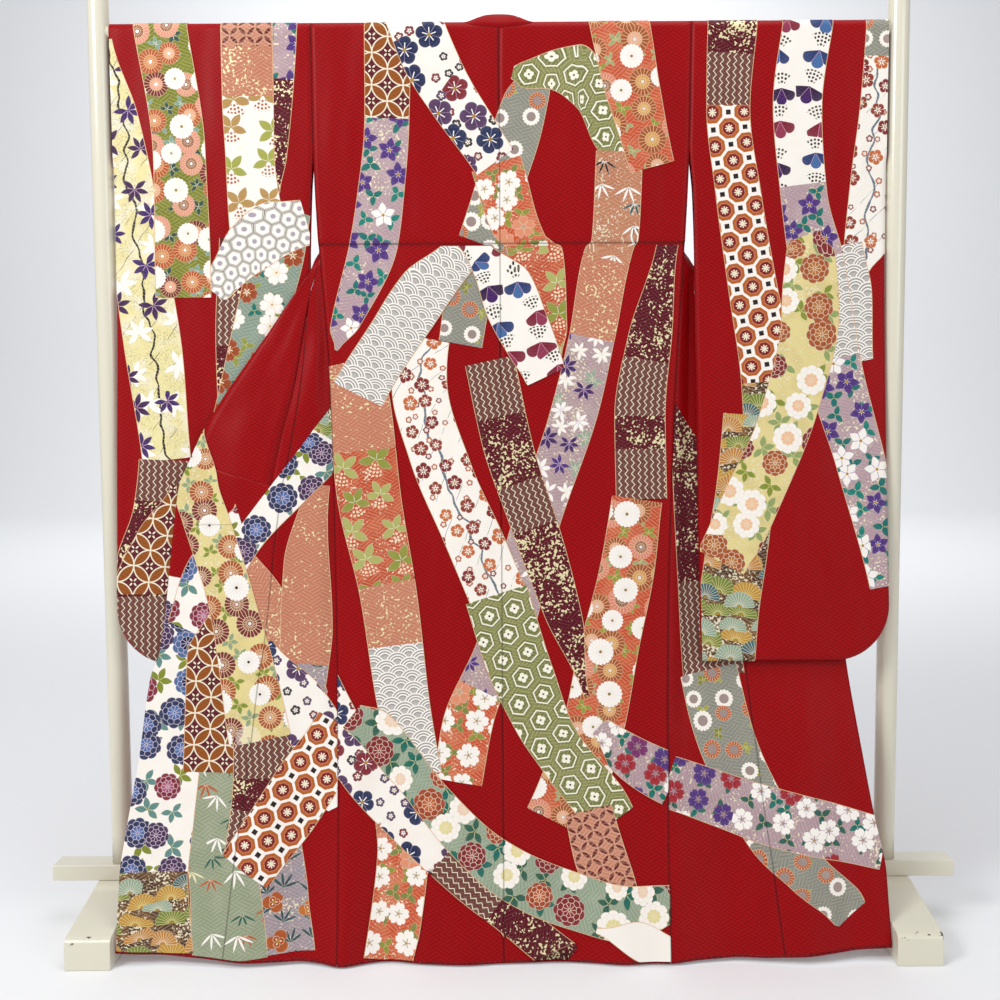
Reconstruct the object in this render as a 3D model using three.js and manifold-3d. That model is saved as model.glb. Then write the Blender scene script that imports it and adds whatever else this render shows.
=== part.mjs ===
// A furisode shown from behind on a kimono stand: its sleeves and shoulders hang over a rod between two posts,
// and both fronts are drawn out to the sides. Millimetres, +Z up, the viewer stands at -Y, origin on the floor.

import * as THREE from 'three';
import Module from 'manifold-3d';
import { mergeVertices } from 'three/addons/utils/BufferGeometryUtils.js';

const wasm = await Module();
wasm.setup();

// Driving sizes of the stand
const POST_SPACING = 1424;
const POST_RADIUS = 19;
const POST_TOP = 1705;
const ROD_RADIUS = 12;
const ROD_HEIGHT = 1626;
const ROD_SOCKET = 9;
const RAIL_LENGTH = 1672;
const RAIL_DEPTH = 48;
const RAIL_HEIGHT = 29;
const RAIL_TOP = 115;
const FOOT_LENGTH = 404;
const FOOT_WIDTH = 79;
const FOOT_TOE_HEIGHT = 50;
const JOINT_GAP = 0.3;

// Driving sizes of the garment
const CLOTH = 2;
const REST = 0.4;
const SEAM = 0.3;
const BODY_LENGTH = 1650;
const TUCK_DROP = 390;
const TUCK_STEP = 3;
const TUCK_FADE = 45;
const NECK_HALF_WIDTH = 62;
const NECK_DIP = 14;
const SLEEVE_DROP = 1141;
const SLEEVE_CORNER = 100;
const WRIST_OPENING = 230;
const ARMHOLE = 215;
const MIYATSUGUCHI_END = 425;
const COLLAR_END = 774;
const COLLAR_SLOPE = 48;
const OKUMI_TOP = 520;
const HEM_ROLL_RADIUS = 1.8;

// The cloth wraps the rod with this outer radius, then swings forward as the cube of its drop
const WRAP = ROD_RADIUS + REST + CLOTH;
const SWING = 180;
const SWING_SLOPE = (3 * SWING) / BODY_LENGTH;
const SWING_RISE = (SWING_SLOPE ** 2 * BODY_LENGTH) / 10;

// Reads a table of rows at a key, with a smooth curve through the rows that never overshoots them
function read(rows, key, column, at) {
  const last = rows.length - 1;
  if (at <= rows[0][key]) return rows[0][column];
  if (at >= rows[last][key]) return rows[last][column];
  const i = rows.findIndex((row) => row[key] > at) - 1;
  const step = (k) => (rows[k + 1][column] - rows[k][column]) / (rows[k + 1][key] - rows[k][key]);
  const slope = (k) => {
    if (k === 0) return step(0);
    if (k === last) return step(last - 1);
    const before = step(k - 1);
    const after = step(k);
    return before * after <= 0 ? 0 : (2 * before * after) / (before + after);
  };
  const width = rows[i + 1][key] - rows[i][key];
  const t = (at - rows[i][key]) / width;
  const a = rows[i][column];
  const b = rows[i + 1][column];
  const rise = (3 - 2 * t) * t * t;
  const leave = t * (1 - t) ** 2 * width * slope(i);
  const arrive = t * t * (t - 1) * width * slope(i + 1);
  return a + (b - a) * rise + leave + arrive;
}

const smooth = (low, high, value) => THREE.MathUtils.smoothstep(value, low, high);
const mix = (a, b, t) => a + (b - a) * t;

// Soft vertical folds: where each stands on the hem, how it leans, where it begins, how deep and how wide it is
const FOLDS = [
  { x: -590, lean: 0.04, start: 1180, depth: 5, width: 34 },
  { x: -455, lean: -0.05, start: 1050, depth: -6, width: 42 },
  { x: -352, lean: 0.02, start: 960, depth: 6, width: 30 },
  { x: -278, lean: -0.03, start: 1150, depth: -12, width: 30 },
  { x: -196, lean: 0.05, start: 1240, depth: 9, width: 38 },
  { x: -60, lean: 0.02, start: 1300, depth: -5, width: 46 },
  { x: 92, lean: -0.03, start: 1080, depth: 5, width: 44 },
  { x: 205, lean: 0.03, start: 1260, depth: -7, width: 40 },
  { x: 296, lean: 0.0, start: 1000, depth: -6, width: 30 },
  { x: 402, lean: 0.04, start: 1160, depth: 8, width: 42 },
  { x: 520, lean: -0.04, start: 1100, depth: -7, width: 40 },
  { x: 612, lean: 0.02, start: 1200, depth: 5, width: 32 },
];

// Broad waves of the hanging cloth, the same for every layer so that the layers never meet
const WAVES = [
  { length: 310, phase: 0.4, depth: 1.5 },
  { length: 173, phase: 2.1, depth: 0.8 },
];

function fold(x, drop) {
  let out = 0;
  for (const wave of WAVES) {
    out += wave.depth * Math.sin((2 * Math.PI * x) / wave.length + wave.phase) * smooth(60, 900, drop);
  }
  for (const row of FOLDS) {
    const centre = row.x + row.lean * (drop - BODY_LENGTH);
    out += row.depth * Math.exp(-(((x - centre) / row.width) ** 2)) * smooth(row.start, BODY_LENGTH, drop);
  }
  return out;
}

// Puts a point of cloth in space: x across, drop below the top of the rod, and depth behind the viewer's face.
// Round the rod a depth under WRAP lies on the viewer's side and a larger one on the far side.
function place(x, drop, depth) {
  if (drop < WRAP) {
    const angle = Math.acos(1 - drop / WRAP);
    const radius = Math.abs(WRAP - depth);
    const side = depth < WRAP ? -1 : 1;
    return new THREE.Vector3(x, side * radius * Math.sin(angle), ROD_HEIGHT + radius * Math.cos(angle));
  }
  const hang = (drop - WRAP) / BODY_LENGTH;
  const y = depth - WRAP - SWING * hang ** 3 + fold(x, drop);
  return new THREE.Vector3(x, y, ROD_HEIGHT + WRAP - drop + SWING_RISE * hang ** 5);
}

// Depth of the far layer's outer face: across the rod at the top, then close behind the near layer
const FAR_LAYER = [
  { drop: WRAP, depth: 2 * WRAP },
  { drop: 120, depth: 25 },
  { drop: 260, depth: 19.5 },
  { drop: 400, depth: 16 },
  { drop: BODY_LENGTH, depth: 16 },
];
const farFace = (drop) => read(FAR_LAYER, 'drop', 'depth', drop);
const farMiddle = (drop) => farFace(drop) - CLOTH / 2;

// The shaped edges, side by side for the left and the right half, each half measured outwards from the centre
const SIDE_EDGE = {
  left: [
    { drop: 0, x: 333 },
    { drop: ARMHOLE, x: 332 },
    { drop: 380, x: 326 },
    { drop: MIYATSUGUCHI_END, x: 322 },
    { drop: 664, x: 306 },
    { drop: 1024, x: 298 },
    { drop: BODY_LENGTH, x: 286 },
  ],
  right: [
    { drop: 0, x: 342 },
    { drop: ARMHOLE, x: 339 },
    { drop: 380, x: 332 },
    { drop: MIYATSUGUCHI_END, x: 329 },
    { drop: 700, x: 313 },
    { drop: 1063, x: 299 },
    { drop: BODY_LENGTH, x: 286 },
  ],
};
const SLEEVE_EDGES = {
  left: [
    { drop: 0, inner: 333.3, outer: 690.5 },
    { drop: ARMHOLE, inner: 332.3, outer: 689 },
    { drop: 300, inner: 337, outer: 688.5 },
    { drop: 420, inner: 341, outer: 688.5 },
    { drop: 842, inner: 345, outer: 693 },
    { drop: SLEEVE_DROP, inner: 347, outer: 690 },
  ],
  right: [
    { drop: 0, inner: 342.3, outer: 690.5 },
    { drop: ARMHOLE, inner: 339.3, outer: 690 },
    { drop: 300, inner: 346, outer: 690 },
    { drop: 420, inner: 350, outer: 690.5 },
    { drop: 842, inner: 356, outer: 696 },
    { drop: SLEEVE_DROP, inner: 358, outer: 697 },
  ],
};

// Each front runs from its side edge over a turn to its free edge. The free edge is drawn straight from the neck
// through the gap beside the sleeve, where the cloth turns over, and out to the collar's end.
const FRONT_ROWS = {
  left: [
    { drop: 0, side: 2 * WRAP - 1, turn: 2 * WRAP - 1, turnX: 300, edge: 2 * WRAP - 1, edgeX: 20 },
    { drop: WRAP, side: 2 * WRAP - 1, turn: 2 * WRAP - 1, turnX: 300, edge: 2 * WRAP - 1, edgeX: 21 },
    { drop: 60, side: 26, turn: 26, turnX: 302, edge: 26.6, edgeX: 46 },
    { drop: 200, side: 20.4, turn: 20.6, turnX: 308, edge: 22, edgeX: 152 },
    { drop: 340, side: 16.2, turn: 17.5, turnX: 316, edge: 22, edgeX: 262 },
    { drop: 375, side: 13, turn: 15.5, turnX: 320, edge: 22, edgeX: 296 },
    { drop: 395, side: 9, turn: 13.8, turnX: 324.1, edge: 22, edgeX: 318 },
    { drop: 410, side: 5.5, turn: 9.3, turnX: 325.3, edge: 17, edgeX: 330 },
    { drop: 422, side: 3.2, turn: 5.4, turnX: 325.3, edge: 8, edgeX: 334.5 },
    { drop: 434, side: 2.2, turn: 2.3, turnX: 325.4, edge: -1.5, edgeX: 338 },
    { drop: 450, side: 1.8, turn: 0.4, turnX: 327, edge: -7, edgeX: 347 },
    { drop: 480, side: 1.4, turn: -4.5, turnX: 331, edge: -7.5, edgeX: 368 },
    { drop: 540, side: 1, turn: -6.5, turnX: 332, edge: -8, edgeX: 409 },
    { drop: 717, side: 1, turn: -7, turnX: 330, edge: -8, edgeX: 531 },
    { drop: COLLAR_END, side: 1, turn: -7, turnX: 330, edge: -8, edgeX: 558 },
    { drop: 824, side: 1, turn: -7, turnX: 330, edge: -8, edgeX: 578 },
    { drop: 1119, side: 1, turn: -7, turnX: 328, edge: -8, edgeX: 611 },
    { drop: 1163, side: 1, turn: -6, turnX: 326, edge: -8, edgeX: 626 },
    { drop: 1302, side: 1, turn: -2, turnX: 322, edge: -5, edgeX: 643 },
    { drop: 1436, side: 1, turn: 0, turnX: 318, edge: -3, edgeX: 662 },
    { drop: 1503, side: 1, turn: 0, turnX: 316, edge: -2, edgeX: 669 },
    { drop: BODY_LENGTH, side: 1, turn: 0, turnX: 314, edge: -2, edgeX: 668 },
  ],
  right: [
    { drop: 0, side: 2 * WRAP - 1, turn: 2 * WRAP - 1, turnX: 308, edge: 2 * WRAP - 1, edgeX: 20 },
    { drop: WRAP, side: 2 * WRAP - 1, turn: 2 * WRAP - 1, turnX: 308, edge: 2 * WRAP - 1, edgeX: 21 },
    { drop: 60, side: 26, turn: 26, turnX: 310, edge: 26.6, edgeX: 46 },
    { drop: 200, side: 20.4, turn: 20.6, turnX: 314, edge: 22, edgeX: 154 },
    { drop: 340, side: 16.2, turn: 17.5, turnX: 322, edge: 22, edgeX: 266 },
    { drop: 375, side: 13, turn: 15.5, turnX: 326, edge: 22, edgeX: 300 },
    { drop: 395, side: 9, turn: 14, turnX: 329.9, edge: 23, edgeX: 322 },
    { drop: 410, side: 5.5, turn: 10.6, turnX: 331.8, edge: 23.5, edgeX: 337 },
    { drop: 422, side: 3.2, turn: 9, turnX: 334.5, edge: 23.5, edgeX: 345 },
    { drop: 434, side: 2.2, turn: 11, turnX: 338, edge: 23, edgeX: 353 },
    { drop: 450, side: 1.8, turn: 14, turnX: 340, edge: 22, edgeX: 363 },
    { drop: 480, side: 1.4, turn: 18, turnX: 342, edge: 21, edgeX: 381 },
    { drop: 540, side: 1, turn: 20, turnX: 343, edge: 21, edgeX: 418 },
    { drop: 717, side: 1, turn: 20, turnX: 343, edge: 21, edgeX: 535 },
    { drop: COLLAR_END, side: 1, turn: 20, turnX: 343, edge: 21, edgeX: 560 },
    { drop: 824, side: 1, turn: 20, turnX: 343, edge: 21, edgeX: 572 },
    { drop: 1119, side: 1, turn: 19, turnX: 342, edge: 20, edgeX: 617 },
    { drop: 1163, side: 1, turn: 16, turnX: 338, edge: 19, edgeX: 622 },
    { drop: 1302, side: 1, turn: 6, turnX: 330, edge: 10, edgeX: 640 },
    { drop: 1416, side: 1, turn: 2, turnX: 322, edge: 4, edgeX: 655 },
    { drop: 1513, side: 1, turn: 1, turnX: 316, edge: 1, edgeX: 669 },
    { drop: BODY_LENGTH, side: 1, turn: 0, turnX: 314, edge: 0, edgeX: 669 },
  ],
};

// Shares of a front's width at which the overlap panel and the collar begin
const FRONT_SEAMS = [
  { drop: 0, overlap: 0.865, collar: 0.865 },
  { drop: 200, overlap: 0.72, collar: 0.72 },
  { drop: 340, overlap: 0.5, collar: 0.5 },
  { drop: 430, overlap: 0.42, collar: 0.42 },
  { drop: OKUMI_TOP, overlap: 0.37, collar: 0.4 },
  { drop: 608, overlap: 0.34, collar: 0.4 },
  { drop: COLLAR_END, overlap: 0.38, collar: 0.455 },
  { drop: COLLAR_END + COLLAR_SLOPE, overlap: 0.4, collar: 0.46 },
  { drop: 1000, overlap: 0.45, collar: 0.46 },
  { drop: BODY_LENGTH, overlap: 0.58, collar: 0.46 },
];

// The fronts' hems rise towards their free edges
const HEM = [
  { share: 0, drop: BODY_LENGTH },
  { share: 0.5, drop: 1644 },
  { share: 1, drop: 1629 },
];

// Diagonal folds of the left front, which lies before the sleeve: shares and drops of each end, depth and width
const DRAG_FOLDS = [
  { share: 0.25, top: 520, bottom: 760, lean: 0.9, depth: 6, width: 0.12 },
  { share: 0.7, top: 640, bottom: 900, lean: -0.6, depth: 5, width: 0.11 },
  { share: 0.45, top: 700, bottom: 1120, lean: 0.3, depth: 5, width: 0.1 },
];

function dragFold(share, drop) {
  let out = 0;
  for (const row of DRAG_FOLDS) {
    const along = (drop - row.top) / (row.bottom - row.top);
    const centre = row.share + row.lean * 0.25 * (along - 0.5);
    const fade = smooth(0, 0.4, along) * smooth(0, 0.4, 1 - along);
    out -= row.depth * fade * Math.exp(-(((share - centre) / row.width) ** 2));
  }
  return out;
}

// Middle of the wall of a front at a share of its width from the side edge, and a drop
const TURN_SHARE = 0.2;
function frontPoint(half, share, drop) {
  const rows = FRONT_ROWS[half.name];
  const take = (column) => read(rows, 'drop', column, drop);
  const seam = 2.5 * SEAM * smooth(ARMHOLE, TUCK_DROP, drop) - SEAM / 2;
  const sideX = read(SIDE_EDGE[half.name], 'drop', 'x', drop) + seam;
  const first = share < TURN_SHARE;
  const t = first ? share / TURN_SHARE : (share - TURN_SHARE) / (1 - TURN_SHARE);
  const x = first ? mix(sideX, take('turnX'), t) : mix(take('turnX'), take('edgeX'), t);
  const eased = mix(t, smooth(0, 1, t), smooth(440, 540, drop));
  const depth = first ? mix(take('side') + tuckDepth(drop), take('turn'), eased) : mix(take('turn'), take('edge'), t);
  const drag = half.dragged ? dragFold(share, drop) : 0;
  return place(half.sign * x, drop, depth + drag);
}

// Middle of the wall of a back half at a share of its width from the centre seam, with the waist tuck as a step
function tuckDepth(drop) {
  return TUCK_STEP * smooth(TUCK_DROP - 3, TUCK_DROP + 3, drop) * Math.exp(-Math.max(0, drop - TUCK_DROP) / TUCK_FADE);
}
function backPoint(half, share, drop) {
  const above = Math.max(0, 1 - drop / NECK_DIP);
  const innerX = SEAM / 2 + NECK_HALF_WIDTH * Math.sqrt(above * (2 - above));
  const outerX = read(SIDE_EDGE[half.name], 'drop', 'x', drop) - SEAM / 2;
  return place(half.sign * mix(innerX, outerX, share), drop, CLOTH / 2 + tuckDepth(drop));
}

// Wall of cloth on grids of cells { point, normal }: each cell is moved half the cloth's thickness both ways along its
// normal, and a strip closes every edge that only one square uses. Grids that share cells' points become one wall.
function wall(...grids) {
  const triangles = [];
  const quad = (a, b, c, d) => triangles.push(a, b, c, a, c, d);
  const up = (cell) => cell.point.clone().addScaledVector(cell.normal, CLOTH / 2);
  const down = (cell) => cell.point.clone().addScaledVector(cell.normal, -CLOTH / 2);
  const name = (cell) => cell.point.toArray().map((value) => value.toFixed(2)).join();
  const edges = new Map();
  for (const rows of grids) {
    for (let i = 0; i + 1 < rows.length; i++) {
      for (let j = 0; j + 1 < rows[i].length; j++) {
        const ring = [rows[i][j], rows[i + 1][j], rows[i + 1][j + 1], rows[i][j + 1]];
        quad(...ring.map(up));
        quad(...ring.map(down).reverse());
        ring.forEach((from, k) => {
          const to = ring[(k + 1) % 4];
          const back = `${name(to)}/${name(from)}`;
          if (!edges.delete(back)) edges.set(`${name(from)}/${name(to)}`, [from, to]);
        });
      }
    }
  }
  for (const [from, to] of edges.values()) {
    quad(down(from), down(to), up(to), up(from));
  }
  return closed(triangles);
}

// Closed body between two grids of points of the same layout, with its faces turned outwards
function between(front, back) {
  const triangles = [];
  const quad = (a, b, c, d) => triangles.push(a, b, c, a, c, d);
  const lastRow = front.length - 1;
  const lastColumn = front[0].length - 1;
  for (let i = 0; i < lastRow; i++) {
    for (let j = 0; j < lastColumn; j++) {
      quad(front[i][j], front[i + 1][j], front[i + 1][j + 1], front[i][j + 1]);
      quad(back[i][j], back[i][j + 1], back[i + 1][j + 1], back[i + 1][j]);
    }
    quad(front[i][0], back[i][0], back[i + 1][0], front[i + 1][0]);
    quad(front[i][lastColumn], front[i + 1][lastColumn], back[i + 1][lastColumn], back[i][lastColumn]);
  }
  for (let j = 0; j < lastColumn; j++) {
    quad(front[0][j], front[0][j + 1], back[0][j + 1], back[0][j]);
    quad(front[lastRow][j], back[lastRow][j], back[lastRow][j + 1], front[lastRow][j + 1]);
  }
  return closed(triangles);
}

// Merges corners, drops empty triangles and turns the body the right way out
function closed(corners) {
  const raw = new THREE.BufferGeometry();
  const values = new Float32Array(corners.flatMap((corner) => [corner.x, corner.y, corner.z]));
  raw.setAttribute('position', new THREE.BufferAttribute(values, 3));
  const merged = mergeVertices(raw, 1e-3);
  const index = [];
  for (let i = 0; i < merged.index.count; i += 3) {
    const [a, b, c] = [0, 1, 2].map((k) => merged.index.getX(i + k));
    if (a !== b && b !== c && a !== c) index.push(a, b, c);
  }
  if (volume(merged, index) < 0) {
    for (let i = 0; i < index.length; i += 3) {
      [index[i], index[i + 1]] = [index[i + 1], index[i]];
    }
  }
  merged.setIndex(index);
  return merged;
}

function volume(geometry, index) {
  const position = geometry.getAttribute('position');
  const corner = (k) => new THREE.Vector3().fromBufferAttribute(position, index[k]);
  let total = 0;
  for (let i = 0; i < index.length; i += 3) {
    total += corner(i).dot(corner(i + 1).cross(corner(i + 2)));
  }
  return total / 6;
}

// Turns a three.js geometry into a solid for cuts, and a solid back into a geometry
function solid(geometry) {
  const bare = geometry.clone();
  bare.deleteAttribute('normal');
  bare.deleteAttribute('uv');
  const merged = mergeVertices(bare, 1e-3);
  return new wasm.Manifold(
    new wasm.Mesh({
      numProp: 3,
      vertProperties: new Float32Array(merged.getAttribute('position').array),
      triVerts: new Uint32Array(merged.index.array),
    }),
  );
}
function geometryOf(body) {
  const mesh = body.getMesh();
  const geometry = new THREE.BufferGeometry();
  geometry.setAttribute('position', new THREE.BufferAttribute(new Float32Array(mesh.vertProperties), 3));
  geometry.setIndex([...mesh.triVerts]);
  return geometry;
}

// A cell of a wall from a surface of share and drop, its normal from small steps both ways
function cell(surface, share, drop, turned) {
  const step = 0.5;
  const point = surface(share, drop);
  const low = Math.max(0, drop - step);
  const down = surface(share, drop + step).sub(surface(share, low));
  const across = surface(Math.min(1, share + 0.004), drop).sub(surface(Math.max(0, share - 0.004), drop));
  const normal = across.cross(down).normalize();
  return { point, normal: turned ? normal.negate() : normal };
}

const steps = (from, to, count) => Array.from({ length: count + 1 }, (_, i) => mix(from, to, i / count));

// Drops at which the cloth has a row: close round the rod and where it turns over, wide where it hangs
const WRAP_DROPS = [0, 1.1, 4.2, 8.9, WRAP];
const NECK_DROPS = [0, 1.1, 4.2, 8.9, 12.6, NECK_DIP];
const BACK_DROPS = [
  ...NECK_DROPS,
  WRAP,
  ...steps(75, 330, 3),
  TUCK_DROP - 3,
  TUCK_DROP,
  TUCK_DROP + 3,
  ...steps(MIYATSUGUCHI_END, 1100, 7),
  ...steps(1170, BODY_LENGTH, 7),
];
const TURN_DROPS = [375, 388, 398, 406, 414, 422, 430, 440, 452, 468, 492];
const UPPER_DROPS = [60, 130, 200, 270, 330, ...TURN_DROPS];
const LOWER_DROPS = steps(OKUMI_TOP, COLLAR_END, 4);
const SKIRT_DROPS = [...steps(880, 1119, 3), ...steps(1180, BODY_LENGTH, 7)];

// The hem's own drop: rows below 1500 are shared out so that the last lies on the sloping hem
const HEM_START = 1500;
function hemmed(drop, share) {
  if (drop <= HEM_START) return drop;
  const end = read(HEM, 'share', 'drop', share);
  return mix(HEM_START, end, (drop - HEM_START) / (BODY_LENGTH - HEM_START));
}

const HALVES = [
  { name: 'left', sign: -1, dragged: true },
  { name: 'right', sign: 1, dragged: false },
];

// One half of the body: a single length of cloth from the back's hem over the shoulder to the front's hem
const BACK_COLUMNS = 9;
function bodyHalf(half) {
  const shares = steps(0, 1, BACK_COLUMNS);
  const turned = half.sign > 0;
  const back = (share, drop) => backPoint(half, share, drop);
  const front = (share, drop) => frontPoint(half, share, drop);
  const rows = BACK_DROPS.toReversed().map((drop) => shares.map((share) => cell(back, share, drop, turned)));
  for (const drop of rowsDown([...WRAP_DROPS.slice(1), ...UPPER_DROPS, ...LOWER_DROPS, COLLAR_END + COLLAR_SLOPE, ...SKIRT_DROPS])) {
    const overlap = read(FRONT_SEAMS, 'drop', 'overlap', drop);
    rows.push(
      shares.map((share) => {
        const own = (1 - share) * overlap;
        return cell(front, own, hemmed(drop, own), turned);
      }),
    );
  }
  // The top row lies on the crown of the rod, where both sides meet, so its normals point up
  const crown = BACK_DROPS.length - 1;
  rows[crown] = shares.map((share) => {
    const x = half.sign * mix(NECK_HALF_WIDTH, read(SIDE_EDGE[half.name], 'drop', 'x', 0) - SEAM / 2, share);
    return { point: place(x, 0, CLOTH / 2), normal: new THREE.Vector3(0, 0, 1) };
  });
  return wall(rows);
}
const rowsDown = (drops) => [...drops].sort((a, b) => a - b);

// The collar ends on a line that slopes from its seam up to the free edge
const COLLAR_END_SHARE = 0.46;
function collarEnd(share) {
  return mix(COLLAR_END + COLLAR_SLOPE, COLLAR_END, (share - COLLAR_END_SHARE) / (1 - COLLAR_END_SHARE));
}

// The overlap panel: a narrow strip beside the collar, and below the collar's end all of the front's outer part
const OVERLAP_COLUMNS = 5;
function overlapPanel(half) {
  const surface = (share, drop) => frontPoint(half, share, drop);
  const turned = half.sign > 0;
  const spot = (share, drop) => cell(surface, share, hemmed(drop, share), turned);
  const from = (drop) => read(FRONT_SEAMS, 'drop', 'overlap', drop) + SEAM / frontWidth(half, drop);
  const seamEnd = COLLAR_END + COLLAR_SLOPE;
  const strip = [...LOWER_DROPS, seamEnd].map((drop) => {
    const to = read(FRONT_SEAMS, 'drop', 'collar', drop);
    return [spot(from(drop), drop), spot(drop === seamEnd ? COLLAR_END_SHARE : to, drop)];
  });
  const outer = steps(COLLAR_END_SHARE, 1, OVERLAP_COLUMNS - 1);
  const skirt = [seamEnd, ...SKIRT_DROPS].map((drop, i) => {
    const slope = Math.max(0, 1 - i / 4);
    const start = from(drop);
    const spread = outer.map((share) => {
      const own = mix(start, 1, (share - from(seamEnd)) / (1 - from(seamEnd)));
      return spot(own, drop - slope * (seamEnd - collarEnd(share)));
    });
    return [spot(start, drop), ...spread];
  });
  return wall(strip, skirt);
}
function frontWidth(half, drop) {
  const edgeX = read(FRONT_ROWS[half.name], 'drop', 'edgeX', drop);
  const sideX = read(SIDE_EDGE[half.name], 'drop', 'x', drop);
  return Math.max(12, Math.abs(edgeX - sideX));
}

// The collar: one band from the left front's collar end, up its edge, round the back neck and down the right front
const COLLAR_COLUMNS = 4;
const COLLAR_RISE = 19;
const COLLAR_INSET = 42;
function collarBand() {
  const [left, right] = HALVES.map((half) => {
    const surface = (share, drop) => frontPoint(half, share, drop);
    const drops = rowsDown([...WRAP_DROPS.slice(1), ...UPPER_DROPS, ...LOWER_DROPS, COLLAR_END + COLLAR_SLOPE]);
    return drops.map((drop, i) => {
      const gap = drop < OKUMI_TOP ? 3 * SEAM : SEAM;
      const from = read(FRONT_SEAMS, 'drop', 'collar', drop) + gap / frontWidth(half, drop);
      const slope = i + 1 === drops.length ? 1 : i + 2 === drops.length ? 0.5 : 0;
      return steps(from, 1, COLLAR_COLUMNS).map((share) => {
        const rise = slope * (COLLAR_END + COLLAR_SLOPE - collarEnd(share) + SEAM);
        return cell(surface, share, drop - rise, half.sign > 0);
      });
    });
  });
  const quarter = NECK_DROPS.map((drop) => THREE.MathUtils.radToDeg(Math.asin(drop / NECK_DIP)));
  const turns = [...quarter, ...quarter.toReversed().slice(1).map((turn) => 180 - turn)];
  const neck = turns.map((turn) => steps(0, 1, COLLAR_COLUMNS).map((share) => neckPoint(share, turn)));
  return wall([...left.toReversed(), ...withNormals(neck), ...right]);
}

// Cells of a grid of points, each normal from the points around it; on the crown of the rod they point up
function withNormals(grid) {
  return grid.map((row, i) =>
    row.map((point, j) => {
      if (i === 0 || i + 1 === grid.length) return { point, normal: new THREE.Vector3(0, 0, 1) };
      const down = grid[i + 1][j].clone().sub(grid[i - 1][j]);
      const across = row[Math.min(j + 1, row.length - 1)].clone().sub(row[Math.max(j - 1, 0)]);
      return { point, normal: down.cross(across).normalize() };
    }),
  );
}

// The collar's stand round the back neck, from its seam up over the rod to its free edge on the far side.
// The turn runs in degrees from the left end of the neckline to the right end.
function neckPoint(share, turn) {
  const angle = THREE.MathUtils.degToRad(turn);
  const drop = (NECK_DIP - 2 * SEAM) * Math.max(0, Math.sin(angle));
  const seam = place(-(NECK_HALF_WIDTH - 3 * SEAM) * Math.cos(angle), drop, CLOTH / 2);
  const inset = NECK_HALF_WIDTH - COLLAR_INSET;
  const edgeY = 0.4 * WRAP * Math.sin(angle) ** 6 - 4 * Math.sin(angle) * Math.cos(angle) ** 2;
  const edge = new THREE.Vector3(-inset * Math.cos(angle), edgeY, ROD_HEIGHT + WRAP - CLOTH / 2);
  const point = seam.lerp(edge, share);
  point.z += COLLAR_RISE * Math.sin(angle) * Math.sin(Math.PI * share) ** 0.8;
  return point;
}

// A sleeve: one length folded over the rod, sewn down its outer edge below the wrist and along its rounded bottom,
// open at the wrist and all down its inner edge. It is the outer form less the hollow.
const SLEEVE_COLUMNS = 7;
function sleeve(half) {
  const outer = sleeveForm(half, { inset: 0, beyond: 0 });
  const hollow = sleeveForm(half, { inset: CLOTH, beyond: 12 });
  return geometryOf(outer.subtract(hollow));
}
function sleeveForm(half, { inset, beyond }) {
  const bottom = SLEEVE_DROP - inset;
  const centre = SLEEVE_DROP - SLEEVE_CORNER;
  const corner = steps(0, 1, 7).map((t) => centre + (SLEEVE_CORNER - inset) * Math.sin((t * Math.PI) / 2));
  const drops = [...WRAP_DROPS, 80, 150, WRIST_OPENING - 1, WRIST_OPENING + 1, ...steps(320, centre - 60, 9), ...corner];
  const near = [];
  const far = [];
  for (const drop of drops) {
    const sewn = read(SIDE_EDGE[half.name], 'drop', 'x', drop) + SEAM;
    const innerX = drop <= ARMHOLE ? sewn : read(SLEEVE_EDGES[half.name], 'drop', 'inner', drop);
    const outerX = read(SLEEVE_EDGES[half.name], 'drop', 'outer', drop);
    const fall = Math.min(1, Math.max(0, (drop - centre) / (SLEEVE_CORNER - inset)));
    const rounding = (SLEEVE_CORNER - inset) * (1 - Math.sqrt(1 - fall ** 2));
    const open = beyond > 0 && drop < WRIST_OPENING;
    const end = open ? outerX + beyond : outerX - inset - rounding;
    const shares = steps(0, 1, SLEEVE_COLUMNS);
    const xs = shares.map((share) => mix(innerX, outerX - rounding, share));
    xs[0] = innerX - beyond;
    xs[SLEEVE_COLUMNS] = end;
    const dropHere = Math.min(drop, bottom);
    near.push(xs.map((x) => place(half.sign * x, dropHere, inset)));
    far.push(xs.map((x) => place(half.sign * x, dropHere, farFace(dropHere) - inset)));
  }
  return solid(between(near, far));
}

// The rolled edge of the hem, a thin cord of cloth just under a panel's lower edge
const ROLL_SIDES = 6;
function hemRoll(points) {
  const below = HEM_ROLL_RADIUS + SEAM + 0.1;
  const rings = points.map((point) =>
    steps(0, ROLL_SIDES - 1, ROLL_SIDES - 1).map((k) => {
      const angle = (2 * Math.PI * k) / ROLL_SIDES;
      const y = point.y + HEM_ROLL_RADIUS * Math.cos(angle);
      return new THREE.Vector3(point.x, y, point.z - below + HEM_ROLL_RADIUS * Math.sin(angle));
    }),
  );
  const triangles = [];
  for (let i = 0; i + 1 < rings.length; i++) {
    for (let k = 0; k < ROLL_SIDES; k++) {
      const next = (k + 1) % ROLL_SIDES;
      triangles.push(rings[i][k], rings[i + 1][k], rings[i + 1][next]);
      triangles.push(rings[i][k], rings[i + 1][next], rings[i][next]);
    }
  }
  for (const [ring, turned] of [[rings[0], false], [rings.at(-1), true]]) {
    for (let k = 1; k + 1 < ROLL_SIDES; k++) {
      triangles.push(...(turned ? [ring[0], ring[k + 1], ring[k]] : [ring[0], ring[k], ring[k + 1]]));
    }
  }
  return closed(triangles);
}
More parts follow.
